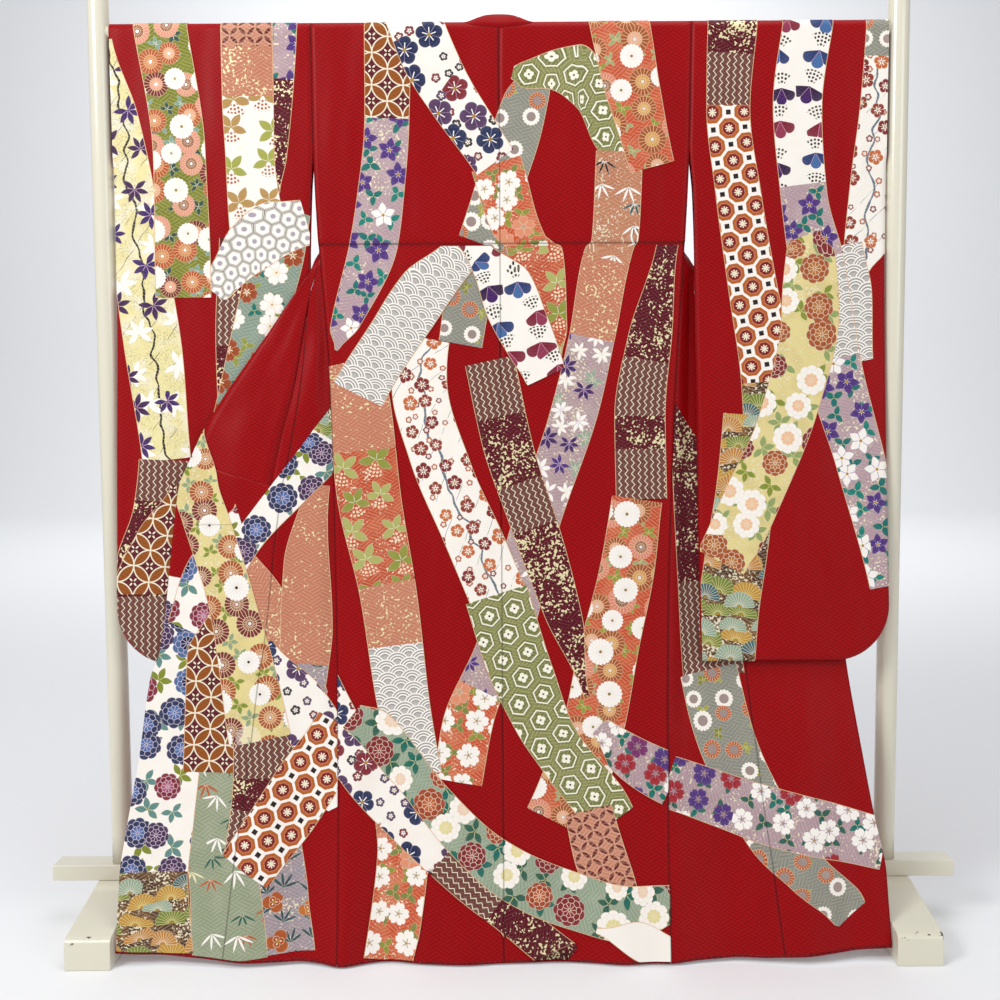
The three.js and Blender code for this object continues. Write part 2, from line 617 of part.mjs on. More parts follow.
function backHem() {
  const [left, right] = HALVES;
  const leftHalf = steps(1, 0.02, 12).map((share) => backPoint(left, share, BODY_LENGTH));
  const rightHalf = steps(0.02, 1, 12).map((share) => backPoint(right, share, BODY_LENGTH));
  return hemRoll([...leftHalf, ...rightHalf]);
}
function frontHem(half) {
  return hemRoll(steps(0.004, 1, 16).map((share) => frontPoint(half, share, hemmed(BODY_LENGTH, share))));
}

// The stand: round posts let into the rail and feet, and a rod let into sockets bored in the posts
const ROUND_SIDES = 28;
function post(sign) {
  const length = POST_TOP - RAIL_TOP - JOINT_GAP;
  const cap = 5;
  const profile = [
    [0, 0],
    [POST_RADIUS, 0],
    [POST_RADIUS, length - cap],
    [POST_RADIUS - cap * 0.3, length - cap * 0.3],
    [POST_RADIUS - cap, length],
    [0, length],
  ].map(([radius, height]) => new THREE.Vector2(radius, height));
  const shaft = new THREE.LatheGeometry(profile, ROUND_SIDES);
  shaft.rotateX(Math.PI / 2);
  shaft.translate((sign * POST_SPACING) / 2, 0, RAIL_TOP + JOINT_GAP);
  const bore = new THREE.CylinderGeometry(ROD_RADIUS + JOINT_GAP, ROD_RADIUS + JOINT_GAP, ROD_SOCKET * 2, ROUND_SIDES);
  bore.rotateZ(Math.PI / 2);
  bore.translate(sign * (POST_SPACING / 2 - POST_RADIUS), 0, ROD_HEIGHT);
  return geometryOf(solid(closedCopy(shaft)).subtract(solid(bore)));
}
function closedCopy(geometry) {
  const bare = geometry.index ? geometry.toNonIndexed() : geometry;
  const position = bare.getAttribute('position');
  const corners = Array.from({ length: position.count }, (_, i) => new THREE.Vector3().fromBufferAttribute(position, i));
  return closed(corners);
}
function rod() {
  const length = POST_SPACING - 2 * POST_RADIUS + 2 * ROD_SOCKET - 2;
  const bar = new THREE.CylinderGeometry(ROD_RADIUS, ROD_RADIUS, length, ROUND_SIDES);
  bar.rotateZ(Math.PI / 2);
  bar.translate(0, 0, ROD_HEIGHT);
  return closedCopy(bar);
}
function rail() {
  const bar = new THREE.BoxGeometry(RAIL_LENGTH, RAIL_DEPTH, RAIL_HEIGHT);
  bar.translate(0, 0, RAIL_TOP - RAIL_HEIGHT / 2);
  return closedCopy(bar);
}

// A foot: flat below, a low toe at each end and a rounded slope up to the block that carries the rail
function foot(sign) {
  const half = FOOT_LENGTH / 2;
  const top = RAIL_TOP - RAIL_HEIGHT - JOINT_GAP;
  const shelf = RAIL_DEPTH / 2 + 8;
  const outline = new THREE.Shape();
  outline.moveTo(-half, 0);
  outline.lineTo(half, 0);
  outline.lineTo(half - 2, FOOT_TOE_HEIGHT - 6);
  outline.quadraticCurveTo(half - 4, FOOT_TOE_HEIGHT + 3, half - 14, FOOT_TOE_HEIGHT + 6);
  outline.quadraticCurveTo(shelf + 52, top - 12, shelf, top);
  outline.lineTo(-shelf, top);
  outline.quadraticCurveTo(-shelf - 52, top - 12, -half + 14, FOOT_TOE_HEIGHT + 6);
  outline.quadraticCurveTo(-half + 4, FOOT_TOE_HEIGHT + 3, -half + 2, FOOT_TOE_HEIGHT - 6);
  outline.closePath();
  const block = new THREE.ExtrudeGeometry(outline, { depth: FOOT_WIDTH, bevelEnabled: false, curveSegments: 6 });
  block.translate(0, 0, -FOOT_WIDTH / 2);
  block.rotateX(Math.PI / 2);
  block.rotateZ(Math.PI / 2);
  block.translate((sign * POST_SPACING) / 2, 0, 0);
  return closedCopy(block);
}

const SILK = new THREE.MeshStandardMaterial({ color: 0xa50d12, roughness: 0.5, metalness: 0, side: THREE.FrontSide });
const HEM_SILK = new THREE.MeshStandardMaterial({ color: 0x7c0a10, roughness: 0.55, metalness: 0 });
const ENAMEL = new THREE.MeshStandardMaterial({ color: 0xe9e6d6, roughness: 0.25, metalness: 0 });

const furisode = new THREE.Group();
function add(name, geometry, material) {
  geometry.computeVertexNormals();
  const mesh = new THREE.Mesh(geometry, material);
  mesh.name = name;
  furisode.add(mesh);
}

for (const half of HALVES) {
  add(`body_${half.name}`, bodyHalf(half), SILK);
  add(`okumi_${half.name}`, overlapPanel(half), SILK);
  add(`sleeve_${half.name}`, sleeve(half), SILK);
  add(`hem_roll_${half.name}`, frontHem(half), HEM_SILK);
  add(`post_${half.name}`, post(half.sign), ENAMEL);
  add(`foot_${half.name}`, foot(half.sign), ENAMEL);
}
add('collar', collarBand(), SILK);
add('hem_roll_back', backHem(), HEM_SILK);
add('rail', rail(), ENAMEL);
add('rod', rod(), ENAMEL);

export default furisode;
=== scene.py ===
"""Looks of a furisode hung over the rod of an enamelled kimono stand, seen from behind.

Metres, +Z up, the viewer stands at -Y and the origin lies on the floor under the stand. Cloth is placed by
how far across it lies (x) and how far it hangs below the top of the rod (drop), as in the part's own solids.
"""

import logging
import math
from dataclasses import dataclass
from enum import Enum
from typing import Any, Callable, Optional, Sequence

import bmesh
import bpy
import mathutils
import numpy as np
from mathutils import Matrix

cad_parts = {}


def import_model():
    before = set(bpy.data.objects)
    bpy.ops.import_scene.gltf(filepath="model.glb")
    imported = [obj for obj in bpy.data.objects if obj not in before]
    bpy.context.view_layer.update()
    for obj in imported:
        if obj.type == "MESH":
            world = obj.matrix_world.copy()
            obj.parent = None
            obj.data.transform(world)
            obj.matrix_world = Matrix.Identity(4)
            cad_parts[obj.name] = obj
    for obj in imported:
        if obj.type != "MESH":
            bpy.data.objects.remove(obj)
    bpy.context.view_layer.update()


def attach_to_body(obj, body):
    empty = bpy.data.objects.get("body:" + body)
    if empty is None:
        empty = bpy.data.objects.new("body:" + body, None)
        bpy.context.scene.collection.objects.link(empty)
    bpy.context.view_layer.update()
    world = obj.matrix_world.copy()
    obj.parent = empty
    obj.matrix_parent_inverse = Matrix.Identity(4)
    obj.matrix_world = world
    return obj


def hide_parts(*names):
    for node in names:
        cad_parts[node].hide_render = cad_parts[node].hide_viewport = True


LOG = logging.getLogger("furisode")
MM = 0.001
Array = np.ndarray
Colour = tuple[float, float, float, float]
Thing = bpy.types.Object
Material = bpy.types.Material
Tree = bpy.types.NodeTree
Socket = bpy.types.NodeSocket

# Sizes of the stand
POST_X = 0.712
POST_RADIUS = 0.019
POST_TOP = 1.705
ROD_RADIUS = 0.012
ROD_HEIGHT = 1.626
RAIL_HALF_LENGTH = 0.836
RAIL_HALF_DEPTH = 0.024
RAIL_BOTTOM = 0.086
RAIL_TOP = 0.115
FOOT_HALF_LENGTH = 0.202
FOOT_WIDTH = 0.079
FOOT_TOE = 0.050

# Sizes of the garment
CLOTH = 0.002
WRAP = ROD_RADIUS + 0.0024
LENGTH = 1.650
TUCK_DROP = 0.390
TUCK_STEP = 0.003
TUCK_FADE = 0.045
NECK_HALF_WIDTH = 0.062
NECK_DIP = 0.014
SLEEVE_DROP = 1.141
SLEEVE_CORNER = 0.100
WRIST = 0.230
ARMHOLE = 0.215
COLLAR_END = 0.774
COLLAR_SLOPE = 0.048
COLLAR_END_SHARE = 0.46
COLLAR_RISE = 0.019
COLLAR_INSET = 0.042
OKUMI_TOP = 0.520
HEM_START = 1.500
HEM_ROLL = 0.0018
SWING = 0.180
TURN_SHARE = 0.2


def smooth(low: float, high: float, value: Array) -> Array:
    """Rises from 0 to 1 between low and high, level at both ends: 3t^2 - 2t^3 of the share t of the way."""
    t = np.clip((np.asarray(value, float) - low) / (high - low), 0, 1)
    return t * t * (3 - 2 * t)


class Table:
    """Rows of named columns, read at a key by a smooth curve through the rows that never overshoots them."""

    def __init__(self, columns: str, rows: Sequence[Sequence[float]], unit: float = MM) -> None:
        """Keeps the rows in metres.

        Args:
            columns: The columns' names, the key first, parted by spaces.
            rows: One sequence of numbers for each row, in the order of the names.
            unit: How long one of the rows' units is, in metres.
        """
        self.columns = columns.split()
        self.rows = np.array(rows, float) * unit

    def at(self, column: str, key: Array) -> Array:
        """Reads a column by cubics, whose slope at a row is the harmonic mean of its neighbours' slopes.

        Args:
            column: The column's name.
            key: Where to read it.

        Returns:
            The column's values there.
        """
        xs = self.rows[:, 0]
        ys = self.rows[:, self.columns.index(column)]
        key = np.clip(np.asarray(key, float), xs[0], xs[-1])
        steps = np.diff(ys) / np.diff(xs)
        slopes = np.concatenate([steps[:1], np.zeros(len(steps) - 1), steps[-1:]])
        for k in range(1, len(steps)):
            before, after = steps[k - 1], steps[k]
            slopes[k] = 0.0 if before * after <= 0 else 2 * before * after / (before + after)
        i = np.clip(np.searchsorted(xs, key, side="right") - 1, 0, len(steps) - 1)
        width = xs[i + 1] - xs[i]
        t = (key - xs[i]) / width
        rise = (3 - 2 * t) * t * t
        leave = t * (1 - t) ** 2 * width * slopes[i]
        arrive = t * t * (t - 1) * width * slopes[i + 1]
        return ys[i] + (ys[i + 1] - ys[i]) * rise + leave + arrive


# Soft vertical folds: where each stands on the hem, its lean, where it begins, how deep and how wide it is
FOLDS = (
    (-590, 0.04, 1180, 5, 34), (-455, -0.05, 1050, -6, 42), (-352, 0.02, 960, 6, 30),
    (-278, -0.03, 1150, -12, 30), (-196, 0.05, 1240, 9, 38), (-60, 0.02, 1300, -5, 46),
    (92, -0.03, 1080, 5, 44), (205, 0.03, 1260, -7, 40), (296, 0.0, 1000, -6, 30),
    (402, 0.04, 1160, 8, 42), (520, -0.04, 1100, -7, 40), (612, 0.02, 1200, 5, 32),
)
WAVES = ((310, 0.4, 1.5), (173, 2.1, 0.8))

# Small creases of the silk: place across, lean, first and last drop, depth and width, uneven as they fall
CREASES = (
    (-640, 0.02, 60, 620, -0.9, 9), (-560, -0.03, 180, 900, 0.8, 11), (-470, 0.03, 40, 480, -0.7, 8),
    (-405, -0.02, 300, 1000, 0.8, 10), (-300, 0.0, 20, 380, -1.0, 12), (-225, 0.04, 420, 900, 1.1, 12),
    (-140, -0.03, 900, 1500, -1.2, 13), (-75, 0.02, 30, 330, 0.7, 9), (-20, -0.01, 500, 1100, -0.8, 11),
    (60, 0.03, 1050, 1620, 1.2, 13), (130, -0.02, 40, 360, -0.8, 9), (178, 0.04, 600, 1250, 0.9, 11),
    (250, -0.03, 440, 980, -1.1, 10), (285, 0.02, 1200, 1640, 1.3, 12), (380, 0.03, 60, 700, 0.8, 9),
    (450, -0.03, 1180, 1630, -1.6, 14), (500, 0.02, 300, 1000, -0.8, 10),
    (575, 0.05, 1200, 1640, 1.3, 12), (600, -0.02, 80, 560, 0.9, 9), (655, 0.02, 500, 1120, -0.8, 9),
)


def fold(x: Array, drop: Array) -> Array:
    """How far the folds and creases move the cloth away from the viewer, in metres."""
    out = np.zeros(np.broadcast(x, drop).shape)
    for length, phase, depth in WAVES:
        out += depth * MM * np.sin(2 * np.pi * x / (length * MM) + phase) * smooth(0.06, 0.9, drop)
    for place_x, lean, start, depth, width in FOLDS:
        centre = place_x * MM + lean * (drop - LENGTH)
        bell = np.exp(-(((x - centre) / (width * MM)) ** 2))
        out += depth * MM * bell * smooth(start * MM, LENGTH, drop)
    for place_x, lean, start, end, depth, width in CREASES:
        run = (drop - start * MM) / ((end - start) * MM)
        centre = place_x * MM + lean * (drop - start * MM) + 0.004 * np.sin(9 * run)
        fade = smooth(0, 0.35, run) * smooth(0, 0.45, 1 - run)
        out += depth * MM * fade * np.exp(-(((x - centre) / (width * MM)) ** 2))
    return out


def place(x: Array, drop: Array, depth: Array) -> Array:
    """Puts points of cloth in space: round the rod above, then swinging forward as the cube of the drop.

    Args:
        x: Place across.
        drop: How far below the top of the rod it hangs.
        depth: Depth behind the viewer's face. Above the rod's height, more than WRAP lies on the far side.

    Returns:
        Points, with the three coordinates along the last axis.
    """
    x, drop, depth = np.broadcast_arrays(np.asarray(x, float), drop, depth)
    angle = np.arccos(np.clip(1 - drop / WRAP, -1, 1))
    radius = np.abs(WRAP - depth)
    side = np.where(depth < WRAP, -1.0, 1.0)
    hang = np.maximum(0, drop - WRAP) / LENGTH
    rise = (3 * SWING / LENGTH) ** 2 * LENGTH / 10
    y = np.where(drop < WRAP, side * radius * np.sin(angle), depth - WRAP - SWING * hang**3 + fold(x, drop))
    z = np.where(drop < WRAP, radius * np.cos(angle), WRAP - drop + rise * hang**5)
    return np.stack([x, y, ROD_HEIGHT + z], axis=-1)


@dataclass(frozen=True)
class Half:
    """The left or the right half of the garment, measured outwards from the centre."""

    name: str
    sign: float
    dragged: bool
    side: Table
    sleeve: Table
    front: Table


FAR = Table("drop depth", ((14.4, 28.8), (120, 25), (260, 19.5), (400, 16), (1650, 16)))
SEAMS = Table(
    "drop overlap collar",
    (
        (0, 865, 865), (200, 720, 720), (340, 500, 500), (430, 420, 420), (520, 370, 400),
        (608, 340, 400), (774, 380, 455), (822, 400, 460), (1000, 450, 460), (1650, 580, 460),
    ),
)
FRONT_COLUMNS = "drop side turn turn_x edge edge_x"
LEFT = Half(
    name="left",
    sign=-1.0,
    dragged=True,
    side=Table(
        "drop x",
        ((0, 333), (215, 332), (380, 326), (425, 322), (664, 306), (1024, 298), (1650, 286)),
    ),
    sleeve=Table(
        "drop inner outer",
        (
            (0, 333, 690.5), (215, 332, 689), (300, 337, 688.5), (420, 341, 688.5), (842, 345, 693),
            (1141, 347, 690),
        ),
    ),
    front=Table(
        FRONT_COLUMNS,
        (
            (0, 27.8, 27.8, 300, 27.8, 20), (14.4, 27.8, 27.8, 300, 27.8, 21),
            (60, 26, 26, 302, 26.6, 46), (200, 20.4, 20.6, 308, 22, 152),
            (340, 16.2, 17.5, 316, 22, 262), (375, 13, 15.5, 320, 22, 296),
            (395, 9, 13.8, 324.1, 22, 318), (410, 5.5, 9.3, 325.3, 17, 330),
            (422, 3.2, 5.4, 325.3, 8, 334.5), (434, 2.2, 2.3, 325.4, -1.5, 338),
            (450, 1.8, 0.4, 327, -7, 347), (480, 1.4, -4.5, 331, -7.5, 368),
            (540, 1, -6.5, 332, -8, 409), (717, 1, -7, 330, -8, 531), (774, 1, -7, 330, -8, 558),
            (824, 1, -7, 330, -8, 578), (1119, 1, -7, 328, -8, 611), (1163, 1, -6, 326, -8, 626),
            (1302, 1, -2, 322, -5, 643), (1436, 1, 0, 318, -3, 662), (1503, 1, 0, 316, -2, 669),
            (1650, 1, 0, 314, -2, 668),
        ),
    ),
)
RIGHT = Half(
    name="right",
    sign=1.0,
    dragged=False,
    side=Table(
        "drop x",
        ((0, 342), (215, 339), (380, 332), (425, 329), (700, 313), (1063, 299), (1650, 286)),
    ),
    sleeve=Table(
        "drop inner outer",
        (
            (0, 342, 690.5), (215, 339, 690), (300, 346, 690), (420, 350, 690.5), (842, 356, 696),
            (1141, 358, 697),
        ),
    ),
    front=Table(
        FRONT_COLUMNS,
        (
            (0, 27.8, 27.8, 308, 27.8, 20), (14.4, 27.8, 27.8, 308, 27.8, 21),
            (60, 26, 26, 310, 26.6, 46), (200, 20.4, 20.6, 314, 22, 154),
            (340, 16.2, 17.5, 322, 22, 266), (375, 13, 15.5, 326, 22, 300),
            (395, 9, 14, 329.9, 23, 322), (410, 5.5, 10.6, 331.8, 23.5, 337),
            (422, 3.2, 9, 334.5, 23.5, 345), (434, 2.2, 11, 338, 23, 353), (450, 1.8, 14, 340, 22, 363),
            (480, 1.4, 18, 342, 21, 381), (540, 1, 20, 343, 21, 418), (717, 1, 20, 343, 21, 535),
            (774, 1, 20, 343, 21, 560), (824, 1, 20, 343, 21, 572), (1119, 1, 19, 342, 20, 617),
            (1163, 1, 16, 338, 19, 622), (1302, 1, 6, 330, 10, 640), (1416, 1, 2, 322, 4, 655),
            (1513, 1, 1, 316, 1, 669), (1650, 1, 0, 314, 0, 669),
        ),
    ),
)
HALVES = (LEFT, RIGHT)

# Diagonal folds drawn from the pinch of the left front: share, first and last drop, lean, depth and width
DRAGS = (
    (0.25, 520, 760, 0.9, 6, 0.12), (0.7, 640, 900, -0.6, 5, 0.11), (0.45, 700, 1120, 0.3, 5, 0.1),
    (0.86, 500, 700, 0.2, 2.2, 0.05), (0.55, 480, 640, 0.5, 2.6, 0.06),
)


def drag(share: Array, drop: Array) -> Array:
    """How far the left front's diagonal folds stand towards the viewer."""
    out = np.zeros(np.broadcast(share, drop).shape)
    for centre, top, bottom, lean, depth, width in DRAGS:
        along = (drop - top * MM) / ((bottom - top) * MM)
        middle = centre + lean * 0.25 * (along - 0.5)
        fade = smooth(0, 0.4, along) * smooth(0, 0.4, 1 - along)
        out -= depth * MM * fade * np.exp(-(((share - middle) / width) ** 2))
    return out


def tuck(drop: Array) -> Array:
    """Step of the waist tuck: the cloth below it lies deeper and comes back as it falls."""
    return TUCK_STEP * smooth(TUCK_DROP - 0.003, TUCK_DROP + 0.003, drop) * np.exp(
        -np.maximum(0, np.asarray(drop) - TUCK_DROP) / TUCK_FADE
    )


def hemmed(drop: Array, share: Array) -> Array:
    """Shares out the rows below HEM_START so that the last is on the hem, which rises to the free edge."""
    end = np.interp(share, (0, 0.5, 1), (LENGTH, 1.644, 1.629))
    low = HEM_START + (end - HEM_START) * (np.asarray(drop) - HEM_START) / (LENGTH - HEM_START)
    return np.where(np.asarray(drop) <= HEM_START, drop, low)


Surface = Callable[[Array, Array], Array]


def front_x(half: Half, share: Array, drop: Array) -> Array:
    """Place across, outwards from the centre, of a share of a front's width from its side edge."""
    side = half.side.at("x", drop)
    turn, edge = half.front.at("turn_x", drop), half.front.at("edge_x", drop)
    near = side + (turn - side) * share / TURN_SHARE
    far = turn + (edge - turn) * (share - TURN_SHARE) / (1 - TURN_SHARE)
    return np.where(share < TURN_SHARE, near, far)


def front_surface(half: Half) -> Surface:
    """Middle of a front's wall by share of its width and drop."""

    def surface(share: Array, drop: Array) -> Array:
        share, drop = np.broadcast_arrays(np.asarray(share, float), drop)
        side, turn, edge = (half.front.at(name, drop) for name in ("side", "turn", "edge"))
        t = share / TURN_SHARE
        weight = smooth(0.44, 0.54, drop)
        eased = t + (smooth(0, 1, t) - t) * weight
        near = side + tuck(drop) + (turn - side - tuck(drop)) * eased
        far = turn + (edge - turn) * (share - TURN_SHARE) / (1 - TURN_SHARE)
        depth = np.where(share < TURN_SHARE, near, far) + (drag(share, drop) if half.dragged else 0)
        return place(half.sign * front_x(half, share, drop), drop, depth)

    return surface


def back_surface(half: Half) -> Surface:
    """Middle of a back half's wall by place across, outwards from the centre, and drop."""

    def surface(x: Array, drop: Array) -> Array:
        x = np.asarray(x)
        return place(half.sign * x, drop, CLOTH / 2 + tuck(drop) + 0 * x)

    return surface


def sleeve_edge(half: Half, x: Array, drop: Array) -> Array:
    """Distance of a point of a sleeve from its sewn edge, which is rounded at the lower outer corner."""
    outer = half.sleeve.at("outer", drop)
    right = outer - x
    low = SLEEVE_DROP - drop
    beyond = np.maximum(0, SLEEVE_CORNER - right), np.maximum(0, SLEEVE_CORNER - low)
    corner = SLEEVE_CORNER - np.hypot(*beyond)
    inside = (right < SLEEVE_CORNER) & (low < SLEEVE_CORNER)
    return np.where(inside, corner, np.minimum(right, low))


def sleeve_surface(half: Half, far: bool) -> Surface:
    """Middle of a sleeve's wall by place across and drop: both walls curve together at the sewn edge."""

    def surface(x: Array, drop: Array) -> Array:
        x, drop = np.broadcast_arrays(np.asarray(x, float), drop)
        depth_far = np.where(drop < WRAP, 2 * WRAP, FAR.at("depth", drop)) - CLOTH / 2
        reach = 0.009
        near = np.clip(1 - sleeve_edge(half, x, drop) / reach, 0, 1)
        round_off = (1 - np.sqrt(1 - near**2)) * smooth(0, 0.03, drop - WRIST)
        middle = (CLOTH / 2 + depth_far) / 2
        depth = (depth_far if far else CLOTH / 2) * (1 - round_off) + middle * round_off
        return place(half.sign * x, drop, depth)

    return surface


# Small steps for the normals: across in metres, in shares of a front's width, and down
STEP_ACROSS = 0.001
STEP_SHARE = 0.004
STEP_DOWN = 0.0006


def normals(surface: Surface, a: Array, b: Array, step: tuple[float, float], outward: float) -> Array:
    """Unit normals of a surface by small steps both ways, turned to the side that outward names.

    Args:
        surface: The surface.
        a: First coordinate of each point.
        b: Second coordinate, the drop.
        step: Size of the small step in each coordinate.
        outward: 1 or -1, the sign that turns the cross product outwards.

    Returns:
        One unit vector for each point.
    """
    across = surface(a + step[0], b) - surface(a - step[0], b)
    down = surface(a, b + step[1]) - surface(a, np.maximum(0, b - step[1]))
    out = np.cross(across, down) * outward
    return out / np.maximum(np.linalg.norm(out, axis=-1, keepdims=True), 1e-12)


def raised(surface: Surface, a: Array, drop: Array, step: float, outward: float, height: float) -> Array:
    """Points on the cloth's outer face or above it: its middle moved out along the normal.

    Args:
        surface: Middle of the wall.
        a: First coordinate on it.
        drop: Second coordinate.
        step: Small step of the first coordinate for the normal.
        outward: 1 or -1, the sign that turns the normal outwards.
        height: Height above the outer face.

    Returns:
        The points. On the crown of the rod, where both sides of the cloth meet, they go straight up.
    """
    a, drop = np.broadcast_arrays(np.asarray(a, float), drop)
    out = normals(surface, a, drop, (step, STEP_DOWN), outward)
    out = np.where((drop < MM * MM)[..., None], np.array((0.0, 0.0, 1.0)), out)
    return surface(a, drop) + out * (CLOTH / 2 + height)


def on_back(half: Half, across: Array, drop: Array, height: float = 0.0) -> Array:
    """Points on a back half's outer face, or above it by a height."""
    return raised(back_surface(half), across, drop, STEP_ACROSS, -half.sign, height)


def on_front(half: Half, share: Array, drop: Array, height: float = 0.0) -> Array:
    """Points on a front's outer face, or above it by a height."""
    return raised(front_surface(half), share, drop, STEP_SHARE, -half.sign, height)


def on_sleeve(half: Half, far: bool, across: Array, drop: Array, height: float = 0.0) -> Array:
    """Points on a sleeve's near or far face, or above it by a height."""
    outward = half.sign if far else -half.sign
    return raised(sleeve_surface(half, far), across, drop, STEP_ACROSS, outward, height)


def signed(half: Half, inner: Array, outer: Array) -> tuple[Array, Array]:
    """Limits of x on a half, low first, from its inner and outer edges measured outwards."""
    return (inner, outer) if half.sign > 0 else (-outer, -inner)


def drops(top: float, bottom: float, step: float) -> Array:
    """Drops from top to bottom, close together round the rod, at the tuck and at a sleeve's lower edge."""
    wrap = [0, 0.0004, 0.0015, 0.0032, 0.0056, 0.0085, 0.0115, WRAP, 0.020]
    waist = [TUCK_DROP - 0.003, TUCK_DROP - 0.001, TUCK_DROP + 0.001, TUCK_DROP + 0.003]
    even = np.arange(max(top, 0.028), bottom, step)
    every = np.unique(np.round(np.concatenate([wrap, waist, even, [top, bottom]]), 6))
    return every[(every >= top) & (every <= bottom)]


CELL = 0.0055
ROW_STEP = 0.009
EDGES = np.array((0, 0.0008, 0.002, 0.0035, 0.0055, 0.008, 0.011))
BODY_ROWS = drops(0, LENGTH, ROW_STEP)
SLEEVE_ROWS = np.unique(np.concatenate([drops(0, SLEEVE_DROP - 0.013, 0.008), SLEEVE_DROP - EDGES]))


@dataclass(frozen=True)
class Panel:
    """A face of the cloth that ribbons are dyed on, with places on it by signed x and drop.

    lift gives points at a height above the face, limits the lowest and highest x at a drop, seams the
    distances from up to three seam lines, and extra more lines of points across.
    """

    rows: Array
    lift: Callable[[Array, Array, float], Array]
    limits: Callable[[Array], tuple[Array, Array]]
    seams: Callable[[Array, Array], Array]
    extra: Sequence[float] = ()


def back_seams(half: Half, x: Array, drop: Array) -> Array:
    """Distances on a back half from the centre seam, the side seam and the waist tuck."""
    across = half.sign * x
    return np.stack([across, half.side.at("x", drop) - across, drop - TUCK_DROP + 0 * x], axis=-1)


def front_seams(half: Half, x: Array, drop: Array) -> Array:
    """Distances on a front from the side seam, the overlap panel's seam and the collar's."""
    across = half.sign * x
    own = [half.side.at("x", drop)]
    own.append(front_x(half, SEAMS.at("overlap", drop), drop) + np.where(drop < OKUMI_TOP, 1.0, 0.0))
    own.append(front_x(half, SEAMS.at("collar", drop), drop) + np.where(drop > COLLAR_END, 1.0, 0.0))
    return np.stack([across - line for line in own], axis=-1)


def sleeve_seams(half: Half, x: Array, drop: Array) -> Array:
    """Distance on a sleeve from the seam that joins it to the body, which ends with the armhole."""
    line = half.side.at("x", drop) + np.where(drop > ARMHOLE, 1.0, 0.0)
    far_off = np.ones(np.broadcast(x, drop).shape)
    return np.stack([half.sign * x - line, far_off, far_off], axis=-1)


def back_panel(half: Half) -> Panel:
    """The back half as a face for ribbons."""
    return Panel(
        rows=BODY_ROWS,
        lift=lambda x, drop, height: on_back(half, half.sign * x, drop, height),
        limits=lambda drop: signed(half, neckline(drop), half.side.at("x", drop)),
        seams=lambda x, drop: back_seams(half, x, drop),
    )


def neckline(drop: Array) -> Array:
    """Half width of the round neckline cut into the back, 0 below its dip."""
    above = np.clip(1 - np.asarray(drop) / NECK_DIP, 0, 1)
    return NECK_HALF_WIDTH * np.sqrt(above * (2 - above))


def sleeve_edges(half: Half, drop: Array) -> tuple[Array, Array]:
    """Inner and outer edge of a sleeve at a drop, with its rounded lower corner."""
    below = np.clip(drop - (SLEEVE_DROP - SLEEVE_CORNER), 0, SLEEVE_CORNER)
    rounding = SLEEVE_CORNER - np.sqrt(SLEEVE_CORNER**2 - below**2)
    inner = np.where(drop <= ARMHOLE, half.side.at("x", drop), half.sleeve.at("inner", drop))
    return inner, half.sleeve.at("outer", drop) - rounding


def sleeve_panel(half: Half, far: bool) -> Panel:
    """A sleeve's near or far wall as a face for ribbons."""
    return Panel(
        rows=SLEEVE_ROWS,
        lift=lambda x, drop, height: on_sleeve(half, far, half.sign * x, drop, height),
        limits=lambda drop: signed(half, *sleeve_edges(half, drop)),
        seams=lambda x, drop: sleeve_seams(half, x, drop),
        extra=tuple(half.sign * (half.sleeve.at("outer", 0.7) - np.arange(-4, 12) * 0.0013)),
    )


def front_share(half: Half, across: Array, drop: Array) -> Array:
    """Share of a front's width, from its side edge, of a place across: the inverse of front_x."""
    side, turn, edge = half.side.at("x", drop), half.front.at("turn_x", drop), half.front.at("edge_x", drop)
    near = TURN_SHARE * (across - side) / (turn - side)
    far = TURN_SHARE + (1 - TURN_SHARE) * (across - turn) / (edge - turn)
    return np.clip(np.where((across - turn) * np.sign(edge - side) < 0, near, far), 0, 1)


# The plain triangle of the collar on a drawn-out front: where its outer side starts, and its lower tip
PLAIN_TOP = 0.700
PLAIN_TIP = 0.890
PLAIN_TIP_X = 0.465

# Where a front's ribbons begin below its turn, and where those behind the rod end
SKIRT_TOP = 0.452
UPPER_END = 0.365


def edge_at_top(half: Half) -> float:
    """Where the plain triangle's outer side meets the front's free edge."""
    return float(half.front.at("edge_x", PLAIN_TOP))


class FrontPart(Enum):
    """Which face of a front: below the turn, at the collar's sloping end, or above on the far side."""

    SKIRT = "skirt"
    CORNER = "corner"
    UPPER = "upper"


